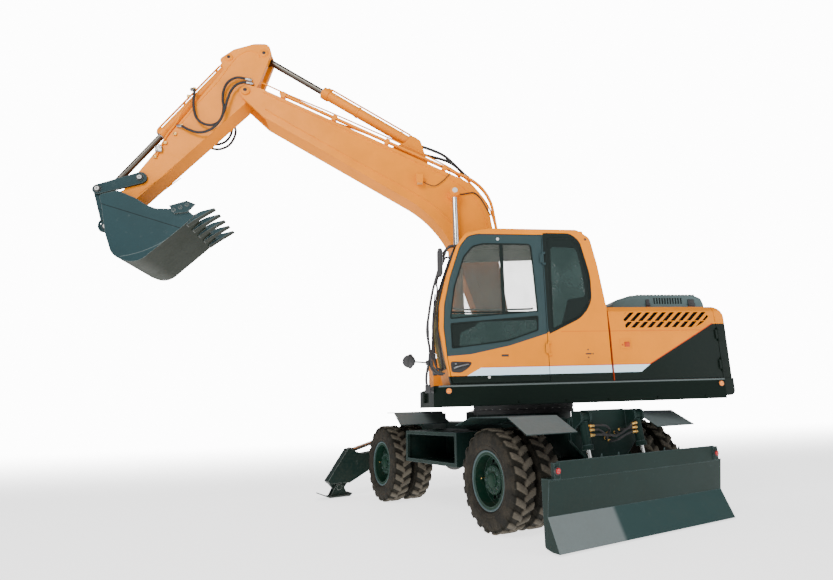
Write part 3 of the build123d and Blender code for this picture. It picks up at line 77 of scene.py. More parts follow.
class Term:
    """A node's output socket that takes arithmetic, each step adding one Math node."""

    def __init__(self, finish, socket):
        self.finish = finish
        self.socket = socket

    def math(self, operation, *others):
        return self.finish.node("ShaderNodeMath", {"operation": operation}, dict(enumerate((self, *others))))

    def __add__(self, other):
        return self.math("ADD", other)

    def __mul__(self, other):
        return self.math("MULTIPLY", other)

    def __sub__(self, other):
        return self.math("SUBTRACT", other)

    def __rsub__(self, other):
        return self.math("MULTIPLY", -1.0).math("ADD", other)

    def __gt__(self, other):
        return self.math("GREATER_THAN", other)

    def __lt__(self, other):
        return self.math("LESS_THAN", other)

    __radd__ = __add__
    __rmul__ = __mul__


class Finish:
    """One procedural material built round a Principled shader."""

    def __init__(self, name, **shader):
        self.material = bpy.data.materials.new(name)
        self.material.use_nodes = True
        self.tree = self.material.node_tree
        self.shader = self.tree.nodes["Principled BSDF"]
        for key, value in shader.items():
            self.set(key.replace("_", " ").title(), value)

    def plug(self, target, value):
        if isinstance(value, Term):
            self.tree.links.new(value.socket, target)
        else:
            target.default_value = value

    def set(self, socket, value):
        self.plug(self.shader.inputs[socket], value)
        return self

    def node(self, kind, settings=None, inputs=None, out=0):
        """Adds a node: its settings first, then the values or links of its sockets."""
        made = self.tree.nodes.new(kind)
        for key, value in (settings or {}).items():
            setattr(made, key, value)
        for key, value in (inputs or {}).items():
            self.plug(made.inputs[key], value)
        return Term(self, made.outputs[out])

    def place(self):
        return self.node("ShaderNodeTexCoord", out="Object")

    def axis(self, name, of="Object"):
        """One coordinate of the surface, in metres in the frame, or of the way that it faces."""
        return self.node("ShaderNodeSeparateXYZ", None, {0: self.node("ShaderNodeTexCoord", out=of)}, out=name)

    def between(self, name, low, high):
        """1 where a coordinate lies between two values, else 0."""
        place = self.axis(name)
        return (place > low) * (place < high)

    def dot(self, first, second):
        return self.node("ShaderNodeVectorMath", {"operation": "DOT_PRODUCT"}, {0: first, 1: second}, out="Value")

    def noise(self, scale, detail=4.0, rough=0.55):
        inputs = {"Vector": self.place(), "Scale": scale, "Detail": detail, "Roughness": rough}
        return self.node("ShaderNodeTexNoise", None, inputs)

    def step(self, value, low, high):
        """Smooth rise from 0 to 1 as value goes from low to high."""
        inputs = {"Value": value, "From Min": low, "From Max": high, "To Min": 0.0, "To Max": 1.0}
        return self.node("ShaderNodeMapRange", {"interpolation_type": "SMOOTHSTEP", "clamp": True}, inputs)

    def mix(self, factor, first, second):
        """Colour that goes from first to second."""
        return self.node("ShaderNodeMix", {"data_type": "RGBA"}, {0: factor, 6: first, 7: second}, out=2)

    def bump(self, height, strength, distance, edge=None):
        """Relief of a height, over corners rounded to a radius where one is given."""
        inputs = {"Height": height, "Strength": strength, "Distance": distance}
        if edge:
            inputs["Normal"] = self.soft_edge(edge)
        self.set("Normal", self.node("ShaderNodeBump", None, inputs))

    def soft_edge(self, radius):
        return self.node("ShaderNodeBevel", {"samples": 4}, {"Radius": radius})

    def edge_wear_and_highlight(self, radius, patches):
        """1 on corners: where the rounded normal turns away from the face's own, in patches."""
        agree = self.dot(self.soft_edge(radius), self.node("ShaderNodeNewGeometry", out="Normal"))
        return self.step(1.0 - agree + patches * 0.22, 0.13, 0.24)


def rgba(colour, shade=1.0):
    return (*(c * shade for c in colour[:3]), 1.0)


# Mesh making

def put_mesh(name, parts, body, finish, smooth=False):
    """An object from a list of (points, quads) parts, riding on a body if one is named."""
    points, faces = merge(parts)
    mesh = bpy.data.meshes.new(name)
    mesh.from_pydata(points.tolist(), [], faces.tolist())
    mesh.polygons.foreach_set("use_smooth", np.full(len(mesh.polygons), True))
    if not smooth:
        mesh.set_sharp_from_angle(angle=SHARP_ANGLE)
    mesh.materials.append(FINISH[finish].material)
    mesh.update()
    piece = bpy.data.objects.new(name, mesh)
    bpy.context.collection.objects.link(piece)
    if body:
        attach(piece, body)
    return piece


def grid_faces(rows, columns, close_rows=False, close_columns=True):
    """Quads of a rows by columns grid of points, joined end to end where closed."""
    i = np.arange(rows if close_rows else rows - 1)[:, None]
    j = np.arange(columns if close_columns else columns - 1)[None, :]
    k, m = (i + 1) % rows, (j + 1) % columns
    quads = np.stack([i * columns + j, i * columns + m, k * columns + m, k * columns + j], -1)
    return quads.reshape(-1, 4)


def outward(points, faces):
    """The part with its faces wound outwards: the sum of corner triple products gives the volume's sign."""
    points = np.asarray(points, float).reshape(-1, 3)
    a, b, c, d = (points[faces[:, i]] for i in range(4))
    volume = (np.cross(a, b) * c).sum() + (np.cross(a, c) * d).sum()
    return points, faces if volume > 0 else faces[:, ::-1]


def merge(parts):
    """One array of points and one of quads from several parts."""
    counts = np.cumsum([0] + [len(points) for points, _ in parts])
    return (np.concatenate([points for points, _ in parts]),
            np.concatenate([faces + count for (_, faces), count in zip(parts, counts)]))


def frame_of(direction):
    """Two unit vectors square to a direction and to each other, and the direction's own."""
    w = np.asarray(direction, float)
    w = w / np.linalg.norm(w)
    helper = np.array([0.0, 0.0, 1.0]) if abs(w[2]) < 0.9 else np.array([1.0, 0.0, 0.0])
    u = np.cross(helper, w)
    u /= np.linalg.norm(u)
    return u, np.cross(w, u), w


def lathe(at, direction, profile, sides=32):
    """Surface of revolution: profile rows (distance along, radius) turned about direction through at."""
    u, v, w = frame_of(direction)
    profile = np.asarray(profile, float)
    turn = np.linspace(0, TAU, sides, endpoint=False)
    ring = np.cos(turn)[:, None] * u + np.sin(turn)[:, None] * v
    points = np.asarray(at) + profile[:, :1, None] * w + profile[:, 1:, None] * ring[None]
    return outward(points, grid_faces(len(profile), sides))


def drum(at, direction, radius, height, sides):
    """Plain drum standing on at."""
    return lathe(at, direction, [(0, 0), (0, radius), (height, radius), (height, 0)], sides)


def disc(at, direction, radius, depth, edge=0.003, sides=24):
    """Short drum standing on at, its front edge rounded off."""
    soft = 0.3 * edge
    return lathe(at, direction, [(-0.002, 0), (-0.002, radius), (depth - edge, radius), (depth - soft, radius - soft),
                                 (depth, radius - edge), (depth, 0)], sides)


def bolt(at, direction, across, height):
    """Six-sided bolt head with its washer."""
    head = lathe(at, direction, [(0, 0), (0, across / 2), (height * 0.86, across / 2), (height, across * 0.4),
                                 (height, 0)], 6)
    return [drum(at, direction, across * 0.72, height * 0.2, 18), head]


def collar(start, end, share, radius, width, step=0.004):
    """Ring round the line from start to end, centred at a share of its length."""
    half, low = width / 2, radius - step
    return lathe(start + share * (end - start), end - start, [
        (-half, 0), (-half, low), (step - half, radius), (half - step, radius), (half, low), (half, 0)], 36)


def block(low, high, rounding=0.006):
    """Rounded box: a ball of the rounding radius moved out to the eight corners."""
    low, high = np.asarray(low, float), np.asarray(high, float)
    r = min(rounding, 0.49 * (high - low).min())
    lift = np.radians([-90, -60, -30, -1e-3, 1e-3, 30, 60, 90])[:, None]
    spin = np.radians(np.add.outer(np.arange(4) * 90, [1e-3, 30, 60, 89.999]).ravel())[None, :]
    ball = np.stack([np.cos(lift) * np.cos(spin), np.cos(lift) * np.sin(spin), np.sin(lift) + 0 * spin], -1)
    side = np.stack(np.broadcast_arrays(np.sign(np.cos(spin)), np.sign(np.sin(spin)), np.sign(lift)), -1)
    points = side * ((high - low) / 2 - r) + r * ball
    caps = np.concatenate([points[:1] * UP, points, points[-1:] * UP])
    return outward(caps + (low + high) / 2, grid_faces(10, 16))


def curve_through(points, per_run):
    """Catmull-Rom curve through a row of given points."""
    p = np.asarray(points, float)
    p = np.concatenate([[2 * p[0] - p[1]], p, [2 * p[-1] - p[-2]]])
    t = np.linspace(0, 1, per_run, endpoint=False)[None, :, None]
    a, b, c, d = (q[:, None] for q in (p[:-3], p[1:-2], p[2:-1], p[3:]))
    runs = 0.5 * (2 * b + (c - a) * t + (2 * a - 5 * b + 4 * c - d) * t**2 + (3 * b - a - 3 * c + d) * t**3)
    return np.concatenate([runs.reshape(-1, 3), p[-2:-1]])


def tube(points, radius, per_run=10, sides=12):
    """Round section of a radius carried along the curve through a row of points, closed at its ends."""
    path = curve_through(points, per_run)
    along = np.gradient(path, axis=0)
    along /= np.linalg.norm(along, axis=1)[:, None]
    u = np.cross(along, (0.31, 0.52, 0.79))
    u /= np.linalg.norm(u, axis=1)[:, None]
    v = np.cross(along, u)
    turn = np.linspace(0, TAU, sides, endpoint=False)[None, :, None]
    size = np.concatenate([[0], np.full(len(path), radius), [0]])[:, None, None]
    path, u, v = (np.concatenate([q[:1], q, q[-1:]])[:, None] for q in (path, u, v))
    return outward(path + size * (np.cos(turn) * u + np.sin(turn) * v), grid_faces(len(size), sides))


def at_side(y, points):
    """Points (x, z) put at one distance to the left."""
    return [(x, y, z) for x, z in points]


def rounded(rows, steps=5):
    """Outline with softened corners: rows (x, z, reach) give each a parabola that starts and ends reach away."""
    rows = np.asarray(rows, float)
    corner, reach = rows[:, None, :2], rows[:, None, 2:]
    before, after = np.roll(corner, 1, 0) - corner, np.roll(corner, -1, 0) - corner
    for arm in (before, after):
        arm *= np.minimum(reach / np.linalg.norm(arm, axis=2, keepdims=True), 0.49)
    t = np.linspace(0, 1, steps)[None, :, None]
    return (corner + (1 - t) ** 2 * before + t**2 * after).reshape(-1, 2)


def radial(rows, middle, count=96):
    """The rounded outline read at evenly turned rays from a middle point: where each ray crosses a side."""
    outline = rounded(rows) - middle
    turn = np.linspace(0, TAU, count, endpoint=False)
    ray = np.stack([np.cos(turn), np.sin(turn)], -1)[:, None]
    a, side = outline[None], (np.roll(outline, -1, 0) - outline)[None]
    across = ray[..., 0] * side[..., 1] - ray[..., 1] * side[..., 0] + 1e-15
    reach = (a[..., 0] * side[..., 1] - a[..., 1] * side[..., 0]) / across
    share = (a[..., 0] * ray[..., 1] - a[..., 1] * ray[..., 0]) / across
    reach = np.where((share >= -1e-9) & (share <= 1 + 1e-9) & (reach > 0), reach, 0).max(1)
    return middle + ray[:, 0] * reach[:, None]


def loops_part(loops, close_rows=False):
    """A part from (outline, y) loops, each joined to the next."""
    points = [np.stack([loop[:, 0], np.full(len(loop), y), loop[:, 1]], -1) for loop, y in loops]
    return outward(np.concatenate(points), grid_faces(len(loops), len(loops[0][0]), close_rows))


def plate(rows, low, high, edge):
    """Flat plate between two depths: outline rings joined by strips and closed by a fan from the middle."""
    outline = rounded(rows)
    middle = outline.mean(0)
    inner = middle + (outline - middle) * (1 - edge / np.abs(outline - middle).max())
    point = outline * 0 + middle
    return loops_part([(point, low), (outline, low), (outline, high - edge), (inner, high), (point, high)])


def ring_plate(outer, inner, middle, low, high):
    """Flat ring between two outlines, both read at the same rays from a middle point."""
    outer, inner = radial(outer, middle), radial(inner, middle)
    return loops_part([(outer, low), (outer, high), (inner, high), (inner, low)], True)


def seal(rows):
    """The seal's section carried round an outline, each row shifted along the outline's own normal."""
    outline = rounded(rows)
    along = np.roll(outline, -1, 0) - np.roll(outline, 1, 0)
    normal = np.stack([along[:, 1], -along[:, 0]], -1)
    normal /= np.linalg.norm(normal, axis=1)[:, None]
    (x, z), (next_x, next_z) = outline.T, np.roll(outline, -1, 0).T
    normal *= np.sign((x * next_z - z * next_x).sum())
    return loops_part([(outline + out * normal, y) for out, y in SEAL_SECTION], True)


def crowned(low, high, crown, pinch, steps, seams=()):
    """Cushion: a superellipse shell, fullest mid-way, its sides drawn in between the corners, sewn lines sunk."""
    lift = np.linspace(-math.pi / 2, math.pi / 2, steps[0])[:, None]
    spin = np.linspace(0, TAU, steps[1] * 2, endpoint=False)[None]
    power = lambda value, e: np.sign(value) * np.abs(value) ** e
    x = power(np.cos(lift), 0.35) * power(np.cos(spin), 0.3)
    y = power(np.cos(lift), 0.35) * power(np.sin(spin), 0.3)
    z = power(np.sin(lift), 0.55) + 0 * spin
    z = z * (1 + crown * (1 - x**2) * (1 - y**2))
    x, y = x * (1 - pinch * (1 - y**2)), y * (1 - pinch * (1 - x**2))
    for axis, place, width, sink in seams:
        z = z * (1 - sink * np.exp(-((((x, y)[axis] - place) / width) ** 2)))
    low, high = np.asarray(low, float), np.asarray(high, float)
    unit = np.stack([x, y, z / (1 + crown)], -1)
    return outward((low + high) / 2 + unit * (high - low) / 2, grid_faces(steps[0], steps[1] * 2))


def under(parts):
    """Parts of the undercarriage's own frame, turned into place."""
    c, s = math.cos(SWING), math.sin(SWING)
    return [(np.stack([p[..., 0] * c + p[..., 1] * s, -p[..., 0] * s + p[..., 1] * c, p[..., 2]], -1), faces)
            for p, faces in parts]


def on_the(sign, parts):
    """Parts of the left side as they are, or mirrored for the right."""
    return parts if sign > 0 else [(points * (1, -1, 1), faces[:, ::-1]) for points, faces in parts]


def both_sides(parts):
    return parts + on_the(-1, parts)


# Sizes and colours a user would change

def colour(label, note, value):
    return FloatVectorProperty(name=label, description=note, subtype="COLOR", size=3, min=0, max=1, default=value)


def length(label, note, value):
    return FloatProperty(name=label, description=note, unit="LENGTH", default=value)


class ExcavatorPaint(bpy.types.PropertyGroup):
    """Colours of the finishes."""

    yellow: colour("Yellow", "Paint of cab, boom, arm and body", (0.82, 0.24, 0.0))
    slate: colour("Slate", "Paint of undercarriage and blade", (0.008, 0.020, 0.017))
    bucket: colour("Bucket", "Paint of bucket and rocker", (0.016, 0.040, 0.046))
    body_dark: colour("Body dark", "Dark paint along the foot of cab, body and tail", (0.002, 0.0070, 0.0045))
    frame: colour("Window frame", "Dark paint of the door round its windows", (0.028, 0.050, 0.054))
    rim: colour("Rim green", "Paint of the wheels", (0.006, 0.026, 0.016))
    cover: colour("Cover grey", "Paint of the engine cover", (0.062, 0.110, 0.112))
    silver: colour("Silver band", "Band along the cab and body", (0.66, 0.87, 1.0))
    # Painted highlight colour: laid on the fenders' upward faces, the skirt's top edge, the blade's slanted foot and
    # the bucket's weld line
    sheen: colour("Slate sheen", "Slate where fenders and skirt edge catch the light", (0.13, 0.155, 0.155))
    stripe: colour("Stripe", "Thin line along the silver band and the dark corner", (0.62, 0.07, 0.0))
    dust: colour("Dust", "Dry earth on tyres and undercarriage", (0.085, 0.075, 0.055))
    glass: colour("Glass", "Tint of the panes", (0.105, 0.115, 0.10))


class ExcavatorTyres(bpy.types.PropertyGroup):
    """Tread of the twin tyres."""

    bars: IntProperty(name="Bars", description="Tread bars round one tyre on each side", default=22, min=8, max=40)
    depth: length("Tread depth", "Height of the bars over the carcass", 0.022)


class ExcavatorHoses(bpy.types.PropertyGroup):
    """Hydraulic hoses."""

    thick: length("Thick hose", "Radius of the lines to the boom and arm", 0.017)
    thin: length("Thin hose", "Radius of the lines of the undercarriage", 0.012)


# Finishes

def paint(name, base, dusty=0.0, rough=0.4, coat=0.0, regions=(), sheen=0.3, worn=0.0, worn_to=(0.25, 0.26, 0.25)):
    """Sprayed paint: faint mottling, orange peel and soft edges, dust that gathers low down.

    regions holds (mask maker, colour) pairs laid over the base in order, and worn lightens edges to worn_to:
    bare metal by default, a painted highlight where a light slate colour is given.
    """
    made = Finish(name, Coat_Weight=coat, Coat_Roughness=0.15)
    made.set("Specular IOR Level", sheen)
    mottle = made.noise(2.3, 5.0)
    colour_now = made.mix(made.step(mottle, 0.3, 0.75) * 0.55, rgba(base), rgba(base, 0.8))
    for mask, region_colour in regions:
        colour_now = made.mix(mask(made), colour_now, rgba(region_colour))
    film = made.step(made.noise(26.0, 6.0, 0.7) * 0.55 + mottle * 0.45, 0.46, 0.62)
    low = 1.0 - made.step(made.axis("Z"), 0.1, 1.3)
    dust = film * (low * 0.6 + 0.12) * dusty
    colour_now = made.mix(dust, colour_now, rgba(PAINT.dust))
    if worn:
        # Edges lightened to worn_to: worn paint where it is bare metal, painted highlight where it is light slate
        worn_and_lit_edge = made.edge_wear_and_highlight(0.012, made.noise(14.0, 5.0, 0.65)) * worn
        colour_now = made.mix(worn_and_lit_edge, colour_now, rgba(worn_to))
    made.set("Base Color", colour_now)
    made.set("Roughness", dust * 0.9 + film * 0.08 + rough)
    made.bump(made.noise(420.0, 2.0, 0.5), 0.1, 0.0006, 0.006)
    return made


def metal(name, base, rough, painted=None):
    """Bare or plated metal with fine scratches across it, yellow paint where the painted mask is 1."""
    made = Finish(name, Metallic=1.0)
    streaks = made.noise(60.0, 3.0, 0.6)
    colour_now = made.mix(streaks * 0.25, rgba(base), rgba(base, 0.62))
    if painted:
        mask = painted(made)
        colour_now = made.mix(mask, colour_now, rgba(PAINT.yellow))
        made.set("Metallic", 1.0 - mask)
    made.set("Base Color", colour_now)
    made.set("Roughness", streaks * 0.16 + rough)
    made.bump(streaks, 0.12, 0.0004, 0.002)
    return made


def rubber(name, base, rough=0.62, dusty=0.0):
    """Black rubber or moulded plastic with a fine grain and a bloom of dust."""
    made = Finish(name)
    grain = made.noise(90.0, 4.0, 0.6)
    bloom = made.step(made.noise(7.0, 6.0, 0.65), 0.42, 0.7)
    made.set("Base Color", made.mix(bloom * dusty, rgba(base), rgba(PAINT.dust)))
    made.set("Roughness", grain * 0.2 + rough)
    made.bump(grain, 0.25, 0.0008, 0.003)
    return made


def reach_of(ahead, lift):
    """Distance from an axis across the machine."""
    return (ahead * ahead + lift * lift).math("POWER", 0.5)


def tread_rubber():
    """Tyre rubber: dark walls, grooves in painted shade, bars lighter towards worn tops with earth and painted light.
    """
    made = Finish("tread_rubber")
    made.set("Specular IOR Level", 0.15)
    cloud = made.noise(9.0, 7.0, 0.7)
    fine = made.noise(120.0, 3.0, 0.6)
    dust = made.step(cloud * 0.7 + fine * 0.3, 0.4, 0.62)
    wall = made.mix(dust * 0.8, (0.010, 0.0095, 0.0075, 1), (0.036, 0.030, 0.022, 1))
    along = made.axis("X") * math.cos(SWING) - made.axis("Y") * math.sin(SWING)
    ahead = (along - AXLES_MIDDLE).math("ABSOLUTE") - AXLES_HALF
    radius = reach_of(ahead, made.axis("Z") - TYRE_R)
    foot = TYRE_R - 0.024
    # Bars lighter towards their tops: earth on the worn tops, with painted light on the faces that stand out
    top = made.step(radius, foot, TYRE_R - 0.006) * (dust * 0.4 + 0.6)
    # Painted shade: the grooves between the bars darkened to near black
    groove_shade = made.step(radius, 0.47, 0.49) * (1.0 - made.step(radius, foot, TYRE_R - 0.016))
    dark = made.mix(groove_shade * 0.8, wall, (0.006, 0.006, 0.004, 1))
    made.set("Base Color", made.mix(top, dark, (0.092, 0.080, 0.062, 1)))
    made.set("Roughness", dust * 0.12 + 0.78)
    made.bump(fine * 0.4 + cloud * 0.6, 0.45, 0.004)
    return made


def pane(name, dark, dark_alpha, alpha=0.32):
    """Thin window glass, see-through with a faint film of dust, deeper tinted where the dark mask is 1."""
    made = Finish(name, Roughness=0.03, Coat_Weight=0.3)
    film = made.step(made.noise(3.0, 6.0, 0.6), 0.35, 0.8)
    deep = dark(made)
    clear = made.mix(film * 0.2, rgba(PAINT.glass), (0.3, 0.3, 0.28, 1))
    tinted = made.mix(film, (0.018, 0.034, 0.031, 1), (0.030, 0.052, 0.048, 1))
    made.set("Base Color", made.mix(deep, clear, tinted))
    made.set("Alpha", film * 0.06 + deep * (dark_alpha - alpha) + alpha)
    return made


def lens(name, base):
    """Ribbed plastic lens of a lamp with a faint glow of its own."""
    made = Finish(name, Roughness=0.16, Coat_Weight=0.2)
    ribs = (made.axis("Z") * 260.0).math("SINE")
    made.set("Base Color", made.mix(ribs * 0.25 + 0.25, rgba(base), rgba(base, 0.6)))
    made.set("Emission Color", rgba(base)).set("Emission Strength", 0.06)
    made.bump(ribs, 0.3, 0.002)
    return made


def leather(name, base):
    """Seat cover with a woven grain."""
    made = Finish(name)
    weave = (made.axis("Y") * 900.0).math("SINE") * (made.axis("Z") * 900.0).math("SINE")
    cloud = made.noise(8.0, 5.0)
    made.set("Base Color", made.mix(made.step(cloud, 0.3, 0.7) * 0.5, rgba(base), rgba(base, 0.6)))
    made.set("Roughness", cloud * 0.1 + 0.75)
    made.bump(weave, 0.3, 0.001, 0.008)
    return made


# Lines of the painted bands and seams, each through two (x, z) points in metres
BAND_Z = (1.613, 1.699)
BAND_NOSE = ((0.92, 1.613), (0.76, 1.699))
BAND_TAIL = ((-1.12, 1.60), (-1.26, 1.70))
WEDGE = ((-1.26, 1.70), (-2.12, 2.17))
WEDGE_TOP = 2.17
FRAME_LINES = (((1.16, 1.83), (0.87, 1.85)), ((0.87, 1.85), (0.42, 1.94)), ((0.42, 1.94), (-0.05, 2.08)))
POST_FOOT = ((-0.1, 2.105), (0.0, 2.075))
BUCKET_SEAM = ((5.201, 3.788), (4.272, 3.493))
BUCKET_BACK, BUCKET_BACK_R = (5.102, 4.204), 1.080
CAB_MIDDLE = (0.2, 0.811, 2.35)
# Where the painted reflection on the blade's foot fades in, across the blade
BLADE_GLOW_Y = 0.40
RAM_PIN = (0.89, 4.15)
# Limits of masks: where a face counts as the side, the door seam, and the tops of rear post and right wall
SIDE_FACE = 1.13
FRONT_SEAM_X = -0.803
POST_TOP, WALL_TOP = 3.27, 2.98


def above_line(made, line, lift=0.0):
    """1 where a point of the side lies over a line raised by lift, else 0."""
    (ax, az), (bx, bz) = line
    slope = (bz - az) / (bx - ax)
    return (made.axis("Z") - made.axis("X") * slope) > (az + lift - ax * slope)


def strip_over(made, line, width):
    """1 between a line and the same line raised by width."""
    return above_line(made, line) * (1.0 - above_line(made, line, width))


def on_side(made):
    return made.axis("Y").math("ABSOLUTE") > SIDE_FACE


def silver_band(made):
    """Band between two heights, cut slanted at its front end and at the dark corner."""
    ends = (1.0 - above_line(made, BAND_NOSE)) * above_line(made, BAND_TAIL)
    return made.between("Z", *BAND_Z) * ends * on_side(made)


def stripes(made):
    """Thin line over the silver band and along the slanted edge of the dark corner."""
    top = BAND_Z[1]
    level = made.between("Z", top, top + 0.009) * (1.0 - above_line(made, BAND_NOSE))
    edge = strip_over(made, WEDGE, 0.012) * made.between("Z", top, WEDGE_TOP + 0.01)
    return level.math("MAXIMUM", edge) * above_line(made, WEDGE) * on_side(made)


def crease_shade(made):
    """Painted shade in the pressed line level with the rear window's foot, from the cab back to the dark corner."""
    return made.between("Z", 2.090, 2.0995) * (made.axis("X") < -0.2) * above_line(made, WEDGE) * on_side(made) * 0.5


def upward(made, low=0.2, high=0.5):
    """1 on faces that look up."""
    return made.step(made.axis("Z", "Normal"), low, high)


def downward(made):
    return 1.0 - upward(made, -0.75, -0.25)


def sideways(made):
    """How far a face looks to the left or right, from 0 to 1."""
    return made.axis("Y", "Normal").math("ABSOLUTE")


def slot_wall_shade(made):
    """Painted shade on the slanted louvres' cut faces: faces of the door's upper field that look along it."""
    return (sideways(made) < 0.7) * made.between("Z", 2.1, 2.345) * made.between("X", -2.12, -0.93)


def bucket_seam_shadow(made):
    """Painted shadow: dark line along the edge of the thicker plate across the bucket's side."""
    return strip_over(made, BUCKET_SEAM, 0.009) * (sideways(made) > 0.9)


def off_axis(made, middle):
    """Distance from the line across the machine through an (x, z) point."""
    return reach_of(made.axis("X") - middle[0], made.axis("Z") - middle[1])


def bucket_rim_highlight(made):
    """Painted highlight on the weld that follows the bucket's round back a little inside its edge."""
    off = (off_axis(made, BUCKET_BACK) - BUCKET_BACK_R).math("ABSOLUTE")
    return (off < 0.0035) * (made.axis("X") < 4.93) * (made.axis("Z") < 3.52) * (sideways(made) > 0.9) * 0.6


# Mask of the blade's lower faces that look up, painted lighter as painted light
def lit_blade_foot(made):
    return (made.axis("Z") < 0.365) * upward(made, 0.02, 0.12)


def blade_foot(made):
    """Broad reflection on the left half of the blade's slanted foot."""
    across = made.axis("X") * math.sin(SWING) + made.axis("Y") * math.cos(SWING)
    return made.step(across, BLADE_GLOW_Y, BLADE_GLOW_Y + 0.07) * lit_blade_foot(made)


# Painted highlight along the skirt's top edge
def skirt_edge_highlight(made):
    return (made.axis("Z") > 1.497) * (made.axis("Y").math("ABSOLUTE") > 1.2) * 0.7


def window_frame(made):
    """Dark upper part of the door: over all three of its lower lines."""
    mask = on_side(made)
    for line in FRAME_LINES:
        mask = mask * above_line(made, line)
    return mask


def rear_post(made):
    """Dark post behind the door, over the window line."""
    return made.between("X", -0.1, 0.0) * (made.axis("Z") < POST_TOP) * above_line(made, POST_FOOT) * on_side(made)


def inward_faces(made):
    """1 on faces of the cab that look in towards its middle."""
    away = made.node("ShaderNodeVectorMath", {"operation": "SUBTRACT"}, {0: made.place(), 1: CAB_MIDDLE})
    return made.dot(away, made.node("ShaderNodeNewGeometry", out="Normal")) < 0.0


def right_wall(made):
    """Inner face of the cab's right wall, in warm light off the boom behind it."""
    return inward_faces(made) * (made.axis("Y") < 0.6) * (made.axis("Z") < WALL_TOP)


def front_seam(made):
    """Shadow in the seam where the side door meets the cab."""
    return (made.axis("X") > FRONT_SEAM_X) * on_side(made)


def ram_eye(made):
    """Eyes at the upper ends of the boom's rods."""
    return off_axis(made, RAM_PIN) < 0.085


def low_pane(made):
    return made.axis("Z") < 2.31


def quarter_pane(made):
    return (made.axis("X") < -0.05) * (made.axis("Y") > 1.15)


def tail_dark(made):
    return made.axis("Z") < WEDGE_TOP


def dark_corner(made):
    """Dark rear corner under a slanted line and a level one, and the band under the body."""
    low = tail_dark(made) * (1.0 - above_line(made, WEDGE)) * (made.axis("X") < WEDGE[0][0] + 0.14)
    return low.math("MAXIMUM", made.axis("Z") < BAND_Z[0]) * on_side(made)


# Which finish each rigid node wears; a star stands for left and right
WEARS = {
    "yellow": "boom arm boom_pipes tanks deck_housing boom_barrels arm_barrel bucket_barrel work_lamp",
    "yellow_side": "side_door_*",
    "cab": "cab_shell",
    "door": "cab_door",
    "tail": "counterweight",
    "slate": "chassis_frame drive_line tool_boxes blade_barrels",
    "blade": "blade",
    "fender": "fenders",
    "skirt": "upper_frame",
    "leg": "outrigger_leg_* outrigger_foot_* outrigger_barrel_* knuckle_*",
    "bucket": "bucket rocker bucket_link",
    "cast": "slew_ring rear_axle front_axle engine_block",
    "rim": "rims_rear_* rims_front_*",
    "tread": "tyres_rear_* tyres_front_*",
    "cover": "engine_hood",
    "boom_rod": "boom_rods",
    "chrome": "blade_rods outrigger_rod_*",
    "rod": "arm_rod bucket_rod",
    "pane": "cab_glass",
    "door_pane": "cab_door_glass",
    "seat": "seat",
    "plastic": "cab_controls grab_rails",
    "red": "blade_lamps",
    "amber": "marker_lamps",
}


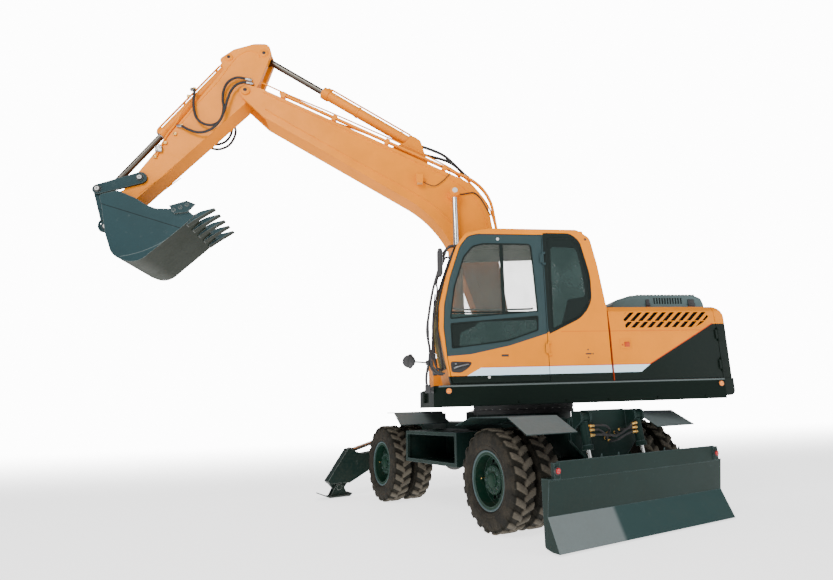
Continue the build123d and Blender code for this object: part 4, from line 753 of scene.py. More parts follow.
class EXCAVATOR_OT_frame_finish(bpy.types.Operator):
    """Gives every rigid node of the machine its own finish"""

    bl_idname = "excavator.frame_finish"
    bl_label = "Finish the frame"

    def execute(self, context):
        # The crease line is painted shade; the other bands are the paint's own
        bands = ((crease_shade, PAINT.stripe), (dark_corner, PAINT.body_dark), (silver_band, PAINT.silver),
                 (stripes, PAINT.stripe))
        # Painted shade: faces inside the cab take the dark window frame colour
        inner_shade = ((inward_faces, PAINT.frame),)
        gloss = {"coat": 0.05, "sheen": 0.14}
        # Painted highlight: light slate laid along the edges of slate parts through the worn-edge mask
        edge_highlight = {"worn": 0.5, "worn_to": (0.10, 0.135, 0.14)}
        chrome = (0.72, 0.72, 0.7)
        FINISH.update(
            yellow=paint("yellow_paint", PAINT.yellow, 0.25, **gloss),
            door=paint("door_paint", PAINT.yellow, 0.2, **gloss,
                       regions=bands + ((window_frame, PAINT.frame),) + inner_shade),
            cab=paint("cab_paint", PAINT.yellow, 0.2, **gloss,
                      regions=bands + ((rear_post, PAINT.frame),) + inner_shade + ((right_wall, (0.24, 0.19, 0.08)),)),
            # The louvres' cut faces are painted near black as painted shade, and the seam at the door's front as
            # painted shadow
            yellow_side=paint("banded_side_paint", PAINT.yellow, 0.2, **gloss,
                              regions=bands + ((slot_wall_shade, (0.003, 0.003, 0.003)), (front_seam, (0.26, 0.025, 0.0)))),
            tail=paint("tail_paint", PAINT.yellow, 0.2, regions=((tail_dark, PAINT.body_dark),), **gloss),
            slate=paint("slate_paint", PAINT.slate, 0.25, sheen=0.07, **edge_highlight),
            # The blade's lit foot is painted lighter and its left half carries a painted reflection
            blade=paint("blade_paint", PAINT.slate, 0.08, sheen=0.1, **edge_highlight,
                        regions=((lit_blade_foot, (0.022, 0.046, 0.045)), (blade_foot, PAINT.sheen))),
            # Upward faces of the fenders take the highlight colour: painted highlight
            fender=paint("fender_paint", PAINT.slate, 0.2, sheen=0.1, regions=((upward, PAINT.sheen),), **edge_highlight),
            skirt=paint("skirt_paint", PAINT.body_dark, 0.06, sheen=0.08, regions=((skirt_edge_highlight, PAINT.sheen),)),
            # Faces that look down are painted darker and browner: painted shade under the bucket, with earth
            bucket=paint("bucket_paint", PAINT.bucket, 0.2, sheen=0.1, worn=0.5, regions=(
                (downward, (0.012, 0.016, 0.009)), (bucket_seam_shadow, (0.004, 0.010, 0.011)), (bucket_rim_highlight, PAINT.sheen))),
            leg=paint("leg_paint", PAINT.slate, 0.2, sheen=0.08, worn=0.8),
            rim=paint("rim_paint", PAINT.rim, 0.2, sheen=0.07, **edge_highlight),
            # Lighter paint for the rim beads: a painted highlight
            rim_edge=paint("rim_edge_paint", (0.045, 0.075, 0.08), 0.2, sheen=0.2),
            cover=paint("cover_paint", PAINT.cover, 0.2, 0.45, 0.12),
            cast=paint("cast_iron_paint", (0.05, 0.052, 0.052), 0.7, 0.6),
            border=paint("border_black", (0.0125, 0.018, 0.0165), 0.02, sheen=0.08),
            lever=paint("lever_red", (0.5, 0.05, 0.0), coat=0.12),
            cap=paint("cap_white", (0.62, 0.62, 0.6), coat=0.12),
            chrome=metal("rod_chrome", chrome, 0.08),
            boom_rod=metal("boom_rod_chrome", chrome, 0.08, ram_eye),
            rod=metal("oiled_rod", (0.11, 0.10, 0.085), 0.25),
            steel=metal("bare_steel", (0.42, 0.41, 0.4), 0.3),
            brass=metal("brass_fitting", (0.62, 0.4, 0.13), 0.25),
            mirror=metal("mirror_glass", (0.8, 0.82, 0.83), 0.03),
            handle=metal("handle_grey", (0.2, 0.21, 0.22), 0.3),
            black=rubber("black_rubber", (0.012, 0.012, 0.013), dusty=0.12),
            plastic=rubber("black_plastic", (0.02, 0.02, 0.022), 0.45, 0.08),
            louvre=rubber("louvre_black", (0.008, 0.008, 0.008), 0.7),
            tread=tread_rubber(),
            pane=pane("window_glass", quarter_pane, 0.92),
            door_pane=pane("door_glass", low_pane, 0.95),
            red=lens("red_lens", (0.38, 0.004, 0.006)),
            amber=lens("amber_lens", (0.95, 0.24, 0.0)),
            lamp_glass=lens("lamp_glass", (0.5, 0.28, 0.1)),
            seat=leather("seat_cover", (0.03, 0.031, 0.034)))
        for finish, nodes in WEARS.items():
            for node in {name.replace("*", side) for name in nodes.split() for side, _ in SIDES}:
                materials = frame["nodes"][node].data.materials
                materials.clear()
                materials.append(FINISH[finish].material)
        return {"FINISHED"}


# Tyres

TYRE_R = 0.525
TYRE_HALF_W = 0.139
BEAD_HALF_W = 0.1037
BEAD_R = 0.2703
WHEELS = (("rear", -0.95), ("front", 1.85))
AXLES_MIDDLE, AXLES_HALF = 0.45, 1.4
TWIN_Y = (1.106, 0.776)
SLANT = 0.62


def tyre_surface(settings, wheel_x, wheel_y, round_steps=440):
    """Turned carcass whose tread rises into slanted bars, left and right ones half a pitch apart.

    Each point is the wall profile at one width, pushed outwards by the bar height at its angle and width.
    """
    root = TYRE_R - settings.depth
    wall = np.array([  # half width, radius, how far a bar stands out of it, outward lean
        (BEAD_HALF_W, BEAD_R, 0, 0), (BEAD_HALF_W, 0.302, 0, 1), (0.128, 0.316, 0, 1), (0.137, 0.336, 0, 1),
        (TYRE_HALF_W, 0.352, 0, 1), (0.1355, 0.3585, 0, 1), (0.1385, 0.366, 0, 1), (0.138, 0.40, 0, 1),
        (0.1365, 0.425, 0, 1), (0.1335, 0.443, 0.1, 1), (0.130, 0.450, 0.42, 1), (0.124, 0.466, 0.6, 0.8),
        (0.117, 0.480, 0.8, 0.6), (0.108, root - 0.006, 1, 0.4), (0.102, root - 0.002, 1, 0.2), (0.088, root, 1, 0),
        (0.066, root, 1, 0), (0.044, root, 1, 0), (0.024, root, 1, 0), (0.010, root, 1, 0)])
    rows = np.concatenate([wall, (wall * (-1, 1, 1, -1))[::-1]])
    v, r, rise, lean = rows.T[:, :, None]
    angle = np.linspace(0, TAU, round_steps, endpoint=False)[None]
    height = np.zeros((len(rows), round_steps))
    for side, shift in ((1, 0.0), (-1, 0.5)):
        width = side * v / TYRE_HALF_W
        phase = (angle * settings.bars / TAU + shift + SLANT * width * (1.25 - 0.35 * width)) % 1.0
        bar = np.clip((0.235 + 0.045 * width - np.abs(phase - 0.5)) / 0.035, 0, 1)
        reach = np.clip((side * v + 0.014) / 0.006, 0, 1)
        height = np.maximum(height, bar * reach * rise)
    push = height * settings.depth * 0.985
    tilt = np.hypot(lean, 1 - np.abs(lean)) + 1e-9
    across = np.clip(v + push * lean / tilt * 0.6, -TYRE_HALF_W, TYRE_HALF_W)
    radius = r + push * (1 - np.abs(lean)) / tilt
    points = np.stack([wheel_x + radius * np.cos(angle), wheel_y + across + 0 * angle,
                       TYRE_R + radius * np.sin(angle)], -1)
    return outward(points, grid_faces(len(rows), round_steps, close_rows=True))


class EXCAVATOR_OT_tyres(bpy.types.Operator):
    """Builds both treaded tyres of each of the four wheels"""

    bl_idname = "excavator.tyres"
    bl_label = "Tyres"

    def execute(self, context):
        settings = context.scene.excavator_tyres
        for end, x in WHEELS:
            for side, sign in SIDES:
                pair = under([tyre_surface(settings, x, sign * y) for y in TWIN_Y])
                tread = put_mesh(f"tread_{end}_{side}", pair, f"wheel_{end}_{side}", "tread")
                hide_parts(f"tyres_{end}_{side}")
        return {"FINISHED"}


# Cab

CAB_SIDE = 1.222
PANE_Y = 1.21
BORDER_Y = (1.2098, 1.2106)
RAIL_R = 0.011
# Outlines on the cab's left side: x, z, reach of the rounded corner
DOOR_PANE = ((1.1, 2.25, 0.02), (1.05, 2.62, 0.07), (0.93, 2.985, 0.05), (0.82, 3.12, 0.05), (0.69, 3.155, 0.04),
             (0.1, 3.155, 0.05), (0.06, 2.33, 0.02))
LOW_PANE = ((1.085, 1.915, 0.02), (1.095, 2.205, 0.02), (0.062, 2.285, 0.02), (0.072, 2.11, 0.02),
            (0.43, 1.99, 0.07))
LOW_CLEAR = ((1.0, 1.885, 0.03), (0.985, 2.1, 0.04), (0.82, 2.16, 0.03), (0.77, 2.22, 0.04), (0.075, 2.235, 0.03),
             (0.09, 2.05, 0.03), (0.42, 1.965, 0.07))
QUARTER_PANE = ((-0.09, 3.24, 0.02), (-0.4, 3.24, 0.05), (-0.515, 3.13, 0.03), (-0.59, 2.74, 0.08),
                (-0.585, 2.45, 0.04), (-0.45, 2.265, 0.05), (-0.09, 2.11, 0.02))
QUARTER_CLEAR = ((-0.14, 3.12, 0.03), (-0.46, 3.11, 0.05), (-0.52, 2.76, 0.1), (-0.53, 2.51, 0.03),
                 (-0.3, 2.47, 0.03), (-0.235, 2.16, 0.05), (-0.11, 2.12, 0.02))
QUARTER_FRAME = ((-0.046, 3.29, 0.02), (-0.4, 3.29, 0.06), (-0.51, 3.19, 0.05), (-0.61, 2.75, 0.1),
                 (-0.6, 2.47, 0.05), (-0.54, 2.35, 0.04), (-0.44, 2.245, 0.05), (-0.046, 2.062, 0.02))
HANDLE_BED = ((1.105, 1.775, 0.03), (0.85, 1.765, 0.05), (0.9, 1.7, 0.03), (0.985, 1.648, 0.03),
              (1.095, 1.655, 0.03))
SEAL_SECTION = ((-0.016, 1.2102), (-0.016, 1.2125), (-0.01, 1.2175), (0.001, 1.2185), (0.001, 1.2102))
# Rails before the cab, and the door's inner rail and pull: x, y, z
OUTER_RAIL = ((0.985, 1.185, 3.126), (1.06, 1.2, 3.124), (1.108, 1.2, 3.09), (1.171, 1.2, 2.922), (1.265, 1.2, 2.664),
              (1.327, 1.2, 2.397), (1.345, 1.2, 2.135), (1.321, 1.2, 1.794), (1.25, 1.2, 1.665),
              (1.165, 1.19, 1.648))
INNER_RAIL = ((1.085, 1.12, 3.0), (1.135, 1.15, 2.975), (1.206, 1.15, 2.797), (1.238, 1.15, 2.675),
              (1.232, 1.15, 2.585), (1.273, 1.15, 2.287), (1.291, 1.15, 2.113), (1.29, 1.15, 1.869),
              (1.254, 1.15, 1.72), (1.19, 1.13, 1.69))
DOOR_RAIL = ((1.075, 1.15, 2.45), (1.06, 1.14, 2.4), (0.95, 1.135, 2.375), (0.5, 1.135, 2.37), (0.16, 1.14, 2.375),
             (0.11, 1.165, 2.38))
DOOR_PULL = ((0.905, 1.226, 1.742), (0.925, 1.238, 1.738), (0.99, 1.243, 1.724), (1.05, 1.238, 1.706),
             (1.066, 1.226, 1.7))
# Small discs on the cab shell's side: x, z, radius
LOCK_SPOTS = ((-0.507, 1.88, 0.009), (-0.507, 1.79, 0.009), (-0.565, 1.832, 0.008), (-0.583, 3.217, 0.015))


def stud(x, z, radius, depth, y=CAB_SIDE - 0.001):
    """Small disc on the cab's left side."""
    return disc((x, y, z), LEFT, radius, depth)


class EXCAVATOR_OT_cab_side(bpy.types.Operator):
    """Builds the pane seals, black window borders, handle, latches and rails of the cab's left side"""

    bl_idname = "excavator.cab_side"
    bl_label = "Cab side"

    def execute(self, context):
        seals = [seal(DOOR_PANE), seal(LOW_PANE), block((0.448, PANE_Y, 2.30), (0.490, 1.2165, 3.150), 0.002),
                 block((0.062, PANE_Y, 2.318), (1.080, 1.2155, 2.336), 0.002),
                 ring_plate(LOW_PANE, LOW_CLEAR, (0.5, 2.1), *BORDER_Y)]
        put_mesh("door_window_seals", seals, "cab_door", "border")
        put_mesh("door_inner_rail", [tube(DOOR_RAIL, RAIL_R)], "cab_door", "plastic", smooth=True)
        quarter = [seal(QUARTER_PANE), ring_plate(QUARTER_PANE, QUARTER_CLEAR, (-0.36, 2.72), *BORDER_Y)]
        put_mesh("quarter_window_seal", quarter, "upper", "border")
        ring = ring_plate(QUARTER_FRAME, QUARTER_PANE, (-0.33, 2.72), CAB_SIDE - 0.002, CAB_SIDE + 0.0025)
        put_mesh("quarter_window_border", [ring], "upper", "border")
        bed = plate(HANDLE_BED, CAB_SIDE - 0.001, CAB_SIDE + 0.003, 0.002)
        put_mesh("door_handle_bed", [bed], "cab_door", "black")
        handle = [tube(DOOR_PULL, RAIL_R, sides=16), stud(1.045, 1.748, 0.011, 0.006, 1.224)]
        put_mesh("door_handle", handle, "cab_door", "handle", smooth=True)
        studs = [stud(0.508, 3.206, 0.019, 0.008), stud(0.672, 1.593, 0.016, 0.007)]
        put_mesh("door_studs", studs, "cab_door", "cap", smooth=True)
        latch = [block((0.440, 1.220, 1.818), (0.520, 1.2275, 1.842), 0.004), stud(0.505, 1.83, 0.008, 0.01, 1.222)]
        put_mesh("door_hold_catch", latch, "cab_door", "plastic")
        keyhole = [block((-0.545, CAB_SIDE - 0.001, 1.825), (-0.475, CAB_SIDE + 0.004, 1.839), 0.002)]
        keyhole += [stud(*spot, 0.005) for spot in LOCK_SPOTS]
        put_mesh("cab_lock", keyhole, "upper", "plastic")
        put_mesh("cab_roof_vent", [disc((-0.60, 1.00, 3.335), UP, 0.04, 0.05, 0.01)], "upper", "yellow")
        rails = [tube(path, RAIL_R) for path in (OUTER_RAIL, INNER_RAIL)]
        put_mesh("cab_front_rails", rails, "upper", "plastic", smooth=True)
        return {"FINISHED"}


# Windscreen outline: x, z, and the y of its two sides
SCREEN = ((1.182, 1.702), (1.228, 2.150), (1.217, 2.420), (1.143, 2.730), (1.000, 3.148))
SCREEN_Y = (0.478, 1.139)
REAR_EDGES = (
    ((-0.757, 0.53, 2.46), (-0.742, 0.53, 2.8), (-0.705, 0.55, 3.11)),
    ((-0.757, 1.09, 2.46), (-0.742, 1.09, 2.8), (-0.705, 1.07, 3.11)),
    ((-0.757, 0.53, 2.46), (-0.757, 0.8, 2.46), (-0.757, 1.09, 2.46)),
    ((-0.705, 0.55, 3.11), (-0.705, 0.8, 3.11), (-0.705, 1.07, 3.11)))
MIRROR_AT = (1.165, 1.79)


class EXCAVATOR_OT_cab_front(bpy.types.Operator):
    """Builds the windscreen and rear window seals, the wiper, and the mirrors with their mounts"""

    bl_idname = "excavator.cab_front"
    bl_label = "Cab front"

    def execute(self, context):
        sides = [[(x + 0.001, y, z) for x, z in SCREEN] for y in SCREEN_Y]
        ends = [[(x, y, z) for y in np.linspace(*SCREEN_Y, 8)] for x, z in (SCREEN[0], SCREEN[-1])]
        strips = [tube(path, 0.012, 6, 8) for path in sides + ends] + [tube(path, 0.010, 4, 8) for path in REAR_EDGES]
        put_mesh("windscreen_seals", strips, "upper", "black", smooth=True)
        wiper = [tube([(1.245, 0.62, 1.72), (1.262, 0.70, 2.02), (1.252, 0.78, 2.34)], 0.007),
                 tube([(1.252, 0.74, 2.05), (1.256, 0.78, 2.30), (1.226, 0.82, 2.62)], 0.009),
                 block((1.19, 0.57, 1.66), (1.25, 0.67, 1.73), 0.015)]
        put_mesh("windscreen_wiper", wiper, "upper", "plastic", smooth=True)
        glass = lathe((1.5345, *MIRROR_AT), REARWARD, [(-0.001, 0), (-0.001, 0.07), (0.0015, 0.069), (0.003, 0)], 40)
        rim = lathe((1.545, *MIRROR_AT), REARWARD, [(0.002, 0.071), (0.014, 0.071), (0.016, 0.076), (0.012, 0.081),
                                                    (-0.012, 0.081), (-0.016, 0.076)], 40)
        bowl = [(-0.03, 0), (-0.028, 0.035), (-0.012, 0.062), (0.004, 0.072), (0.016, 0.072), (0.020, 0.066),
                (0.020, 0)]
        shell = lathe((1.56, *MIRROR_AT), (0.12, 1, -0.1), bowl, 40)
        square = block((1.1775, 1.175, 2.765), (1.181, 1.297, 3.045), 0.001)
        put_mesh("mirror_glasses", [glass, square], "upper", "mirror")
        mounts = [rim, shell, block((1.49, 1.155, 1.765), (1.54, 1.185, 1.805), 0.008),
                  drum((1.352, 1.162, 1.745), UP, 0.024, 0.05, 20), block((1.325, 1.14, 1.44), (1.385, 1.185, 1.53))]
        put_mesh("mirror_mounts", mounts, "upper", "plastic")
        return {"FINISHED"}


def laid(part, origin, up, out):
    """A part lying flat at the world's origin stood up: its x runs along up, its y stays, its z points out."""
    points, faces = part
    axes = np.array([up, LEFT, out], float)
    axes /= np.linalg.norm(axes, axis=1)[:, None]
    return outward(points @ axes + origin, faces)


class EXCAVATOR_OT_seat(bpy.types.Operator):
    """Builds the sewn cushions of the driver's seat over its folded suspension base"""

    bl_idname = "excavator.seat"
    bl_label = "Seat"

    def execute(self, context):
        # axis, place, width and depth of each sewn line, on a cushion from -1 to 1
        seams = [(1, -0.52, 0.05, 0.16), (1, 0.52, 0.05, 0.16), (0, 0.45, 0.05, 0.10)]
        bottom = crowned((-0.330, 0.585, 1.900), (0.200, 1.035, 2.018), 0.22, 0.03, (36, 60), seams)
        back = crowned((0, -0.215, -0.05), (0.68, 0.215, 0.052), 0.25, 0.04, (36, 60), seams)
        back = laid(back, (-0.282, 0.81, 1.962), (-0.1, 0, 0.68), (0.68, 0, 0.1))
        head = crowned((0, -0.12, -0.036), (0.215, 0.12, 0.036), 0.2, 0.03, (30, 40))
        head = laid(head, (-0.386, 0.81, 2.612), (-0.02, 0, 0.23), (0.23, 0, 0.02))
        for name, part, fill in (("cushion", bottom, 0.75), ("back", back, 0.7), ("head_rest", head, 0.8)):
            piece = put_mesh("seat_" + name, [part], "upper", "seat", smooth=True)
            if name == "cushion":
                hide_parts("seat")
        folds = np.linspace(1.60, 1.89, 60)
        reach = 1 + 0.035 * np.sin((folds - 1.6) / 0.29 * TAU * 5)
        bellows = [(1.60, 0), *((z, 0.19 * r) for z, r in zip(folds, reach)), (1.9, 0)]
        base = [block((-0.29, 0.67, 1.563), (0.15, 0.95, 1.602), 0.008), lathe((-0.07, 0.81, 0), UP, bellows, 40)]
        put_mesh("seat_base", base, "upper", "black", smooth=True)
        return {"FINISHED"}


# Body panels

# Reach of the side door's lock, and of the hood's latches from rear to front
LOCK_X, LOCK_Z = (-1.055, -0.905), (1.872, 1.998)
LATCHES_X = ((-1.635, -1.585), (-2.275, -2.185))


def rectangle(x, z, inset, reach):
    """Outline of a rectangle with rounded corners, drawn in by inset."""
    left, right, foot, top = x[0] + inset, x[1] - inset, z[0] + inset, z[1] - inset
    return [(right, foot, reach), (right, top, reach), (left, top, reach), (left, foot, reach)]


class EXCAVATOR_OT_panels(bpy.types.Operator):
    """Builds the dark backs of the louvres, the hood's latches and vent screens, and the side door's lock"""

    bl_idname = "excavator.panels"
    bl_label = "Body panels"

    def execute(self, context):
        for side, sign in SIDES:
            points, faces = block((-2.11, 1.160, 2.105), (-0.935, 1.168, 2.335), 0.002)
            points = points - (points[:, 2:] - 2.105) * (0, 0.125, 0)
            door = f"side_door_{side}"
            put_mesh(f"louvre_screen_{side}", on_the(sign, [(points, faces)]), door, "louvre")
            frame_ring = ring_plate(rectangle(LOCK_X, LOCK_Z, 0.0, 0.015), rectangle(LOCK_X, LOCK_Z, 0.015, 0.01),
                                    (-0.98, 1.935), CAB_SIDE - 0.001, CAB_SIDE + 0.003)
            put_mesh(f"side_lock_frame_{side}", on_the(sign, [frame_ring]), door, "yellow")
            lever = [block((-1.025, 1.2215, 1.905), (-0.96, 1.2275, 1.965), 0.004),
                     stud(-0.938, 1.93, 0.010, 0.005, 1.2215)]
            put_mesh(f"side_lock_lever_{side}", on_the(sign, lever), door, "lever")
        vents = [block((-2.115, y, low), (-1.69, end, high), 0.001) for y, end, low, high in (
            (0.596, 0.600, 2.515, 2.612), (0.27, 0.55, 2.618, 2.622), (-0.41, -0.13, 2.618, 2.622))]
        put_mesh("hood_vent_screens", vents, "engine_hood", "louvre")
        latches = [block((low, 0.618, 2.47), (high, 0.634, 2.585)) for low, high in LATCHES_X]
        latches += [block((low - 0.004, 0.628, 2.50), (high + 0.004, 0.642, 2.535), 0.005) for low, high in LATCHES_X]
        put_mesh("hood_latches", latches, "engine_hood", "plastic")
        ribs = [block((x - 0.017, y, 2.646), (x + 0.017, y + 0.30, 2.660))
                for x in np.linspace(-2.30, -1.50, 17) for y in (0.29, -0.06, -0.41)]
        put_mesh("hood_top_ribs", ribs, "engine_hood", "louvre")
        return {"FINISHED"}


SKIRT_Y = 1.2375
BEARING_R = 0.632


def circle(count, shift=0.0):
    """Cosine and sine at evenly turned places."""
    return [(math.cos(turn + shift), math.sin(turn + shift)) for turn in np.linspace(0, TAU, count, endpoint=False)]


class EXCAVATOR_OT_skirt(bpy.types.Operator):
    """Builds the marker lamp rims, skirt bolts and the row of bolts round the swing bearing"""

    bl_idname = "excavator.skirt"
    bl_label = "Skirt and bearing"

    def execute(self, context):
        profile = [(-0.001, 0.036), (0.006, 0.036), (0.010, 0.033), (0.006, 0.029), (-0.001, 0.029)]
        rims = [lathe((x, SKIRT_Y, 1.455), LEFT, profile, 32) for x in (1.13, -2.12)]
        put_mesh("marker_lamp_rims", both_sides(rims), "upper", "plastic")
        bolts = sum((bolt((x, SKIRT_Y, 1.315), LEFT, 0.018, 0.009) for x in (0.9, 0.35, -0.2, -0.7, -1.3, -1.9)), [])
        put_mesh("skirt_bolts", both_sides(bolts), "upper", "skirt")
        ring = sum((bolt((BEARING_R * c, BEARING_R * s, 1.2352), UP, 0.026, 0.017) for c, s in circle(36)), [])
        put_mesh("bearing_bolts", ring, "chassis", "steel")
        return {"FINISHED"}


# Boom and arm

# Routes of the machine's fixed hoses: x, y, z
ARM_HOSES = (
    ((4.44, 0.165, 5.6), (4.397, 0.2, 5.566), (4.394, 0.205, 5.403), (4.371, 0.21, 5.256), (4.324, 0.215, 5.14),
     (4.241, 0.22, 5.071), (4.135, 0.22, 5.054), (4.048, 0.22, 5.105), (4.006, 0.22, 5.214), (4.002, 0.215, 5.339),
     (4.023, 0.21, 5.451), (4.023, 0.205, 5.577), (3.99, 0.205, 5.694), (3.92, 0.205, 5.771), (3.835, 0.2, 5.803),
     (3.698, 0.185, 5.783)),
    ((4.56, 0.165, 5.045), (4.514, 0.19, 5.032), (4.421, 0.2, 4.983), (4.304, 0.215, 4.941), (4.19, 0.23, 4.953),
     (4.091, 0.235, 5.024), (4.021, 0.235, 5.139), (3.982, 0.235, 5.278), (3.952, 0.23, 5.455), (3.918, 0.225, 5.584),
     (3.859, 0.22, 5.677), (3.775, 0.21, 5.724), (3.677, 0.19, 5.728)))
UNDER_HOSES = (
    ((4.36, -0.165, 5.02), (4.291, -0.19, 4.941), (4.201, -0.2, 4.905), (4.113, -0.205, 4.912), (4.018, -0.21, 4.971),
     (3.958, -0.21, 5.076), (3.937, -0.21, 5.193), (3.957, -0.205, 5.291), (3.94, -0.205, 5.45), (3.86, -0.2, 5.58),
     (3.72, -0.19, 5.66)),
    ((4.42, -0.165, 5.1), (4.34, -0.2, 5.03), (4.23, -0.22, 4.985), (4.13, -0.225, 5.0), (4.05, -0.23, 5.06),
     (4.0, -0.23, 5.17), (3.99, -0.23, 5.3), (3.96, -0.22, 5.47), (3.89, -0.215, 5.62), (3.74, -0.195, 5.72)))
TOP_HOSES = (
    ((1.46, 0.06, 4.965), (1.4, 0.06, 4.985), (1.329, 0.06, 4.949), (1.143, 0.062, 4.884), (0.984, 0.064, 4.804),
     (0.852, 0.07, 4.679), (0.722, 0.08, 4.534), (0.635, 0.1, 4.43)),
    ((1.46, -0.03, 4.95), (1.4, -0.02, 4.93), (1.32, 0.0, 4.86), (1.172, 0.03, 4.805), (1.012, 0.05, 4.755),
     (0.892, 0.06, 4.7), (0.787, 0.075, 4.609), (0.665, 0.1, 4.465)))
LAMP_CABLE = ((1.31, 0.275, 4.31), (1.25, 0.25, 4.285), (1.141, 0.225, 4.275), (1.01, 0.222, 4.376),
              (0.935, 0.222, 4.48), (0.97, 0.222, 4.558), (1.058, 0.222, 4.57))
# Routes of pipes that keep one distance to the left: x, z, after that distance for the two on the boom
TOP_PIPES = (
    (0.17, ((3.549, 5.766), (3.165, 5.591), (2.651, 5.378), (2.089, 5.133), (1.741, 4.981), (1.304, 4.775),
            (0.866, 4.54), (0.627, 4.335), (0.393, 4.014), (0.296, 3.67))),
    (0.13, ((3.531, 5.68), (3.123, 5.461), (2.565, 5.241), (2.089, 5.067), (1.565, 4.841), (0.95, 4.569),
            (0.688, 4.349), (0.454, 3.98), (0.364, 3.682))))
ARM_PIPE = ((4.358, 5.566), (4.517, 5.313), (4.6, 5.08), (4.688, 4.92), (4.746, 4.763), (4.796, 4.592))
GREASE_LINE = ((0.85, 4.175), (0.772, 4.162), (0.68, 4.18), (0.595, 4.186), (0.509, 4.11), (0.426, 3.959),
               (0.373, 3.859))
# Finishes of boss, washer and centre, and the shares that washer and centre have of the pin's radius
PIN_STYLES = {"painted": ("yellow", "yellow", "black", 0.8, 0.42), "washer": ("black", "cap", "black", 0.68, 0.2)}
# Pins: body, x, z, side face, radius, style
PINS = (("boom", 3.739, 5.603, 0.217, 0.062, "painted"), ("boom", 0.25, 1.9, 0.206, 0.08, "painted"),
        ("arm", 4.005, 6.14, 0.152, 0.055, "painted"), ("arm", 3.54, 6.24, 0.152, 0.058, "painted"),
        ("bucket", 5.14, 3.97, 0.209, 0.052, "washer"), ("bucket", 5.266, 3.61, 0.209, 0.048, "washer"),
        ("rocker", 4.95, 4.28, 0.206, 0.04, "washer"), ("rocker", 5.43, 4.11, 0.206, 0.04, "washer"),
        ("boom_rods", *RAM_PIN, 0.382, 0.062, "painted"))
PORT_SPOTS = ((3.691, 5.8), (3.665, 5.735), (4.413, 5.615), (4.477, 5.497), (4.529, 5.053), (4.595, 4.928),
              (4.705, 4.792), (4.808, 4.591))
ARM_WELDS = (
    ((4.555, 5.066), (4.334, 5.431), (4.124, 5.749), (3.989, 6.006), (3.869, 6.186), (3.741, 6.263), (3.639, 6.244),
     (3.59, 6.168)),
    ((4.955, 4.076), (4.77, 4.254), (4.581, 4.435)))
BOOM_WELDS = (
    ((3.46, 5.33), (3.0, 5.06), (2.2, 4.6), (1.46, 4.18), (1.02, 3.86), (0.72, 3.35), (0.5, 2.6), (0.4, 2.05)),
    ((3.5, 5.585), (2.6, 5.174), (1.4, 4.626), (0.86, 4.35), (0.55, 4.05), (0.4, 3.62), (0.3, 3.0), (0.17, 2.05)))
PIPE_R = 0.011
ARM_PIPE_Y, GREASE_Y = 0.168, 0.222
ARM_FACE_Y, BOOM_FACE_Y = 0.152, 0.2055


def weld_bead(path, y, radius=0.006):
    """A line of weld: a thin tube along (x, z) points at one distance to the left."""
    return tube(at_side(y, path), radius, 14, 8)


def hose_end(start, towards, radius):
    """Swaged collar and nut where a hose meets its port."""
    wide, nut = radius * 1.5, radius * 1.2
    profile = [(-0.03, 0), (-0.03, radius * 0.8), (-0.012, radius * 0.8), (-0.012, wide), (0.01, wide), (0.01, nut),
               (0.055, nut), (0.06, radius), (0.06, 0)]
    return lathe(start, np.subtract(towards, start), profile, 16)


class EXCAVATOR_OT_hoses(bpy.types.Operator):
    """Builds the hydraulic hoses of arm and boom with their swaged ends"""

    bl_idname = "excavator.hoses"
    bl_label = "Boom and arm hoses"

    def execute(self, context):
        thick = context.scene.excavator_hoses.thick
        for name, routes, body, radius in (("arm_hoses", ARM_HOSES + UNDER_HOSES, None, thick),
                                           ("boom_top_hoses", TOP_HOSES, "boom", thick * 1.25)):
            hoses = put_mesh(name, [tube(route, radius, 8, 14) for route in routes], body, "black", smooth=True)
            first, last = ([hose_end(route[i], route[j], radius) for route in routes] for i, j in ((0, 1), (-1, -2)))
            if name == "arm_hoses":
                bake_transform(hoses)
                put_mesh("arm_hose_ends", first, "arm", "steel")
                first = []
            put_mesh(name + "_fittings", first + last, "boom", "steel")
        return {"FINISHED"}


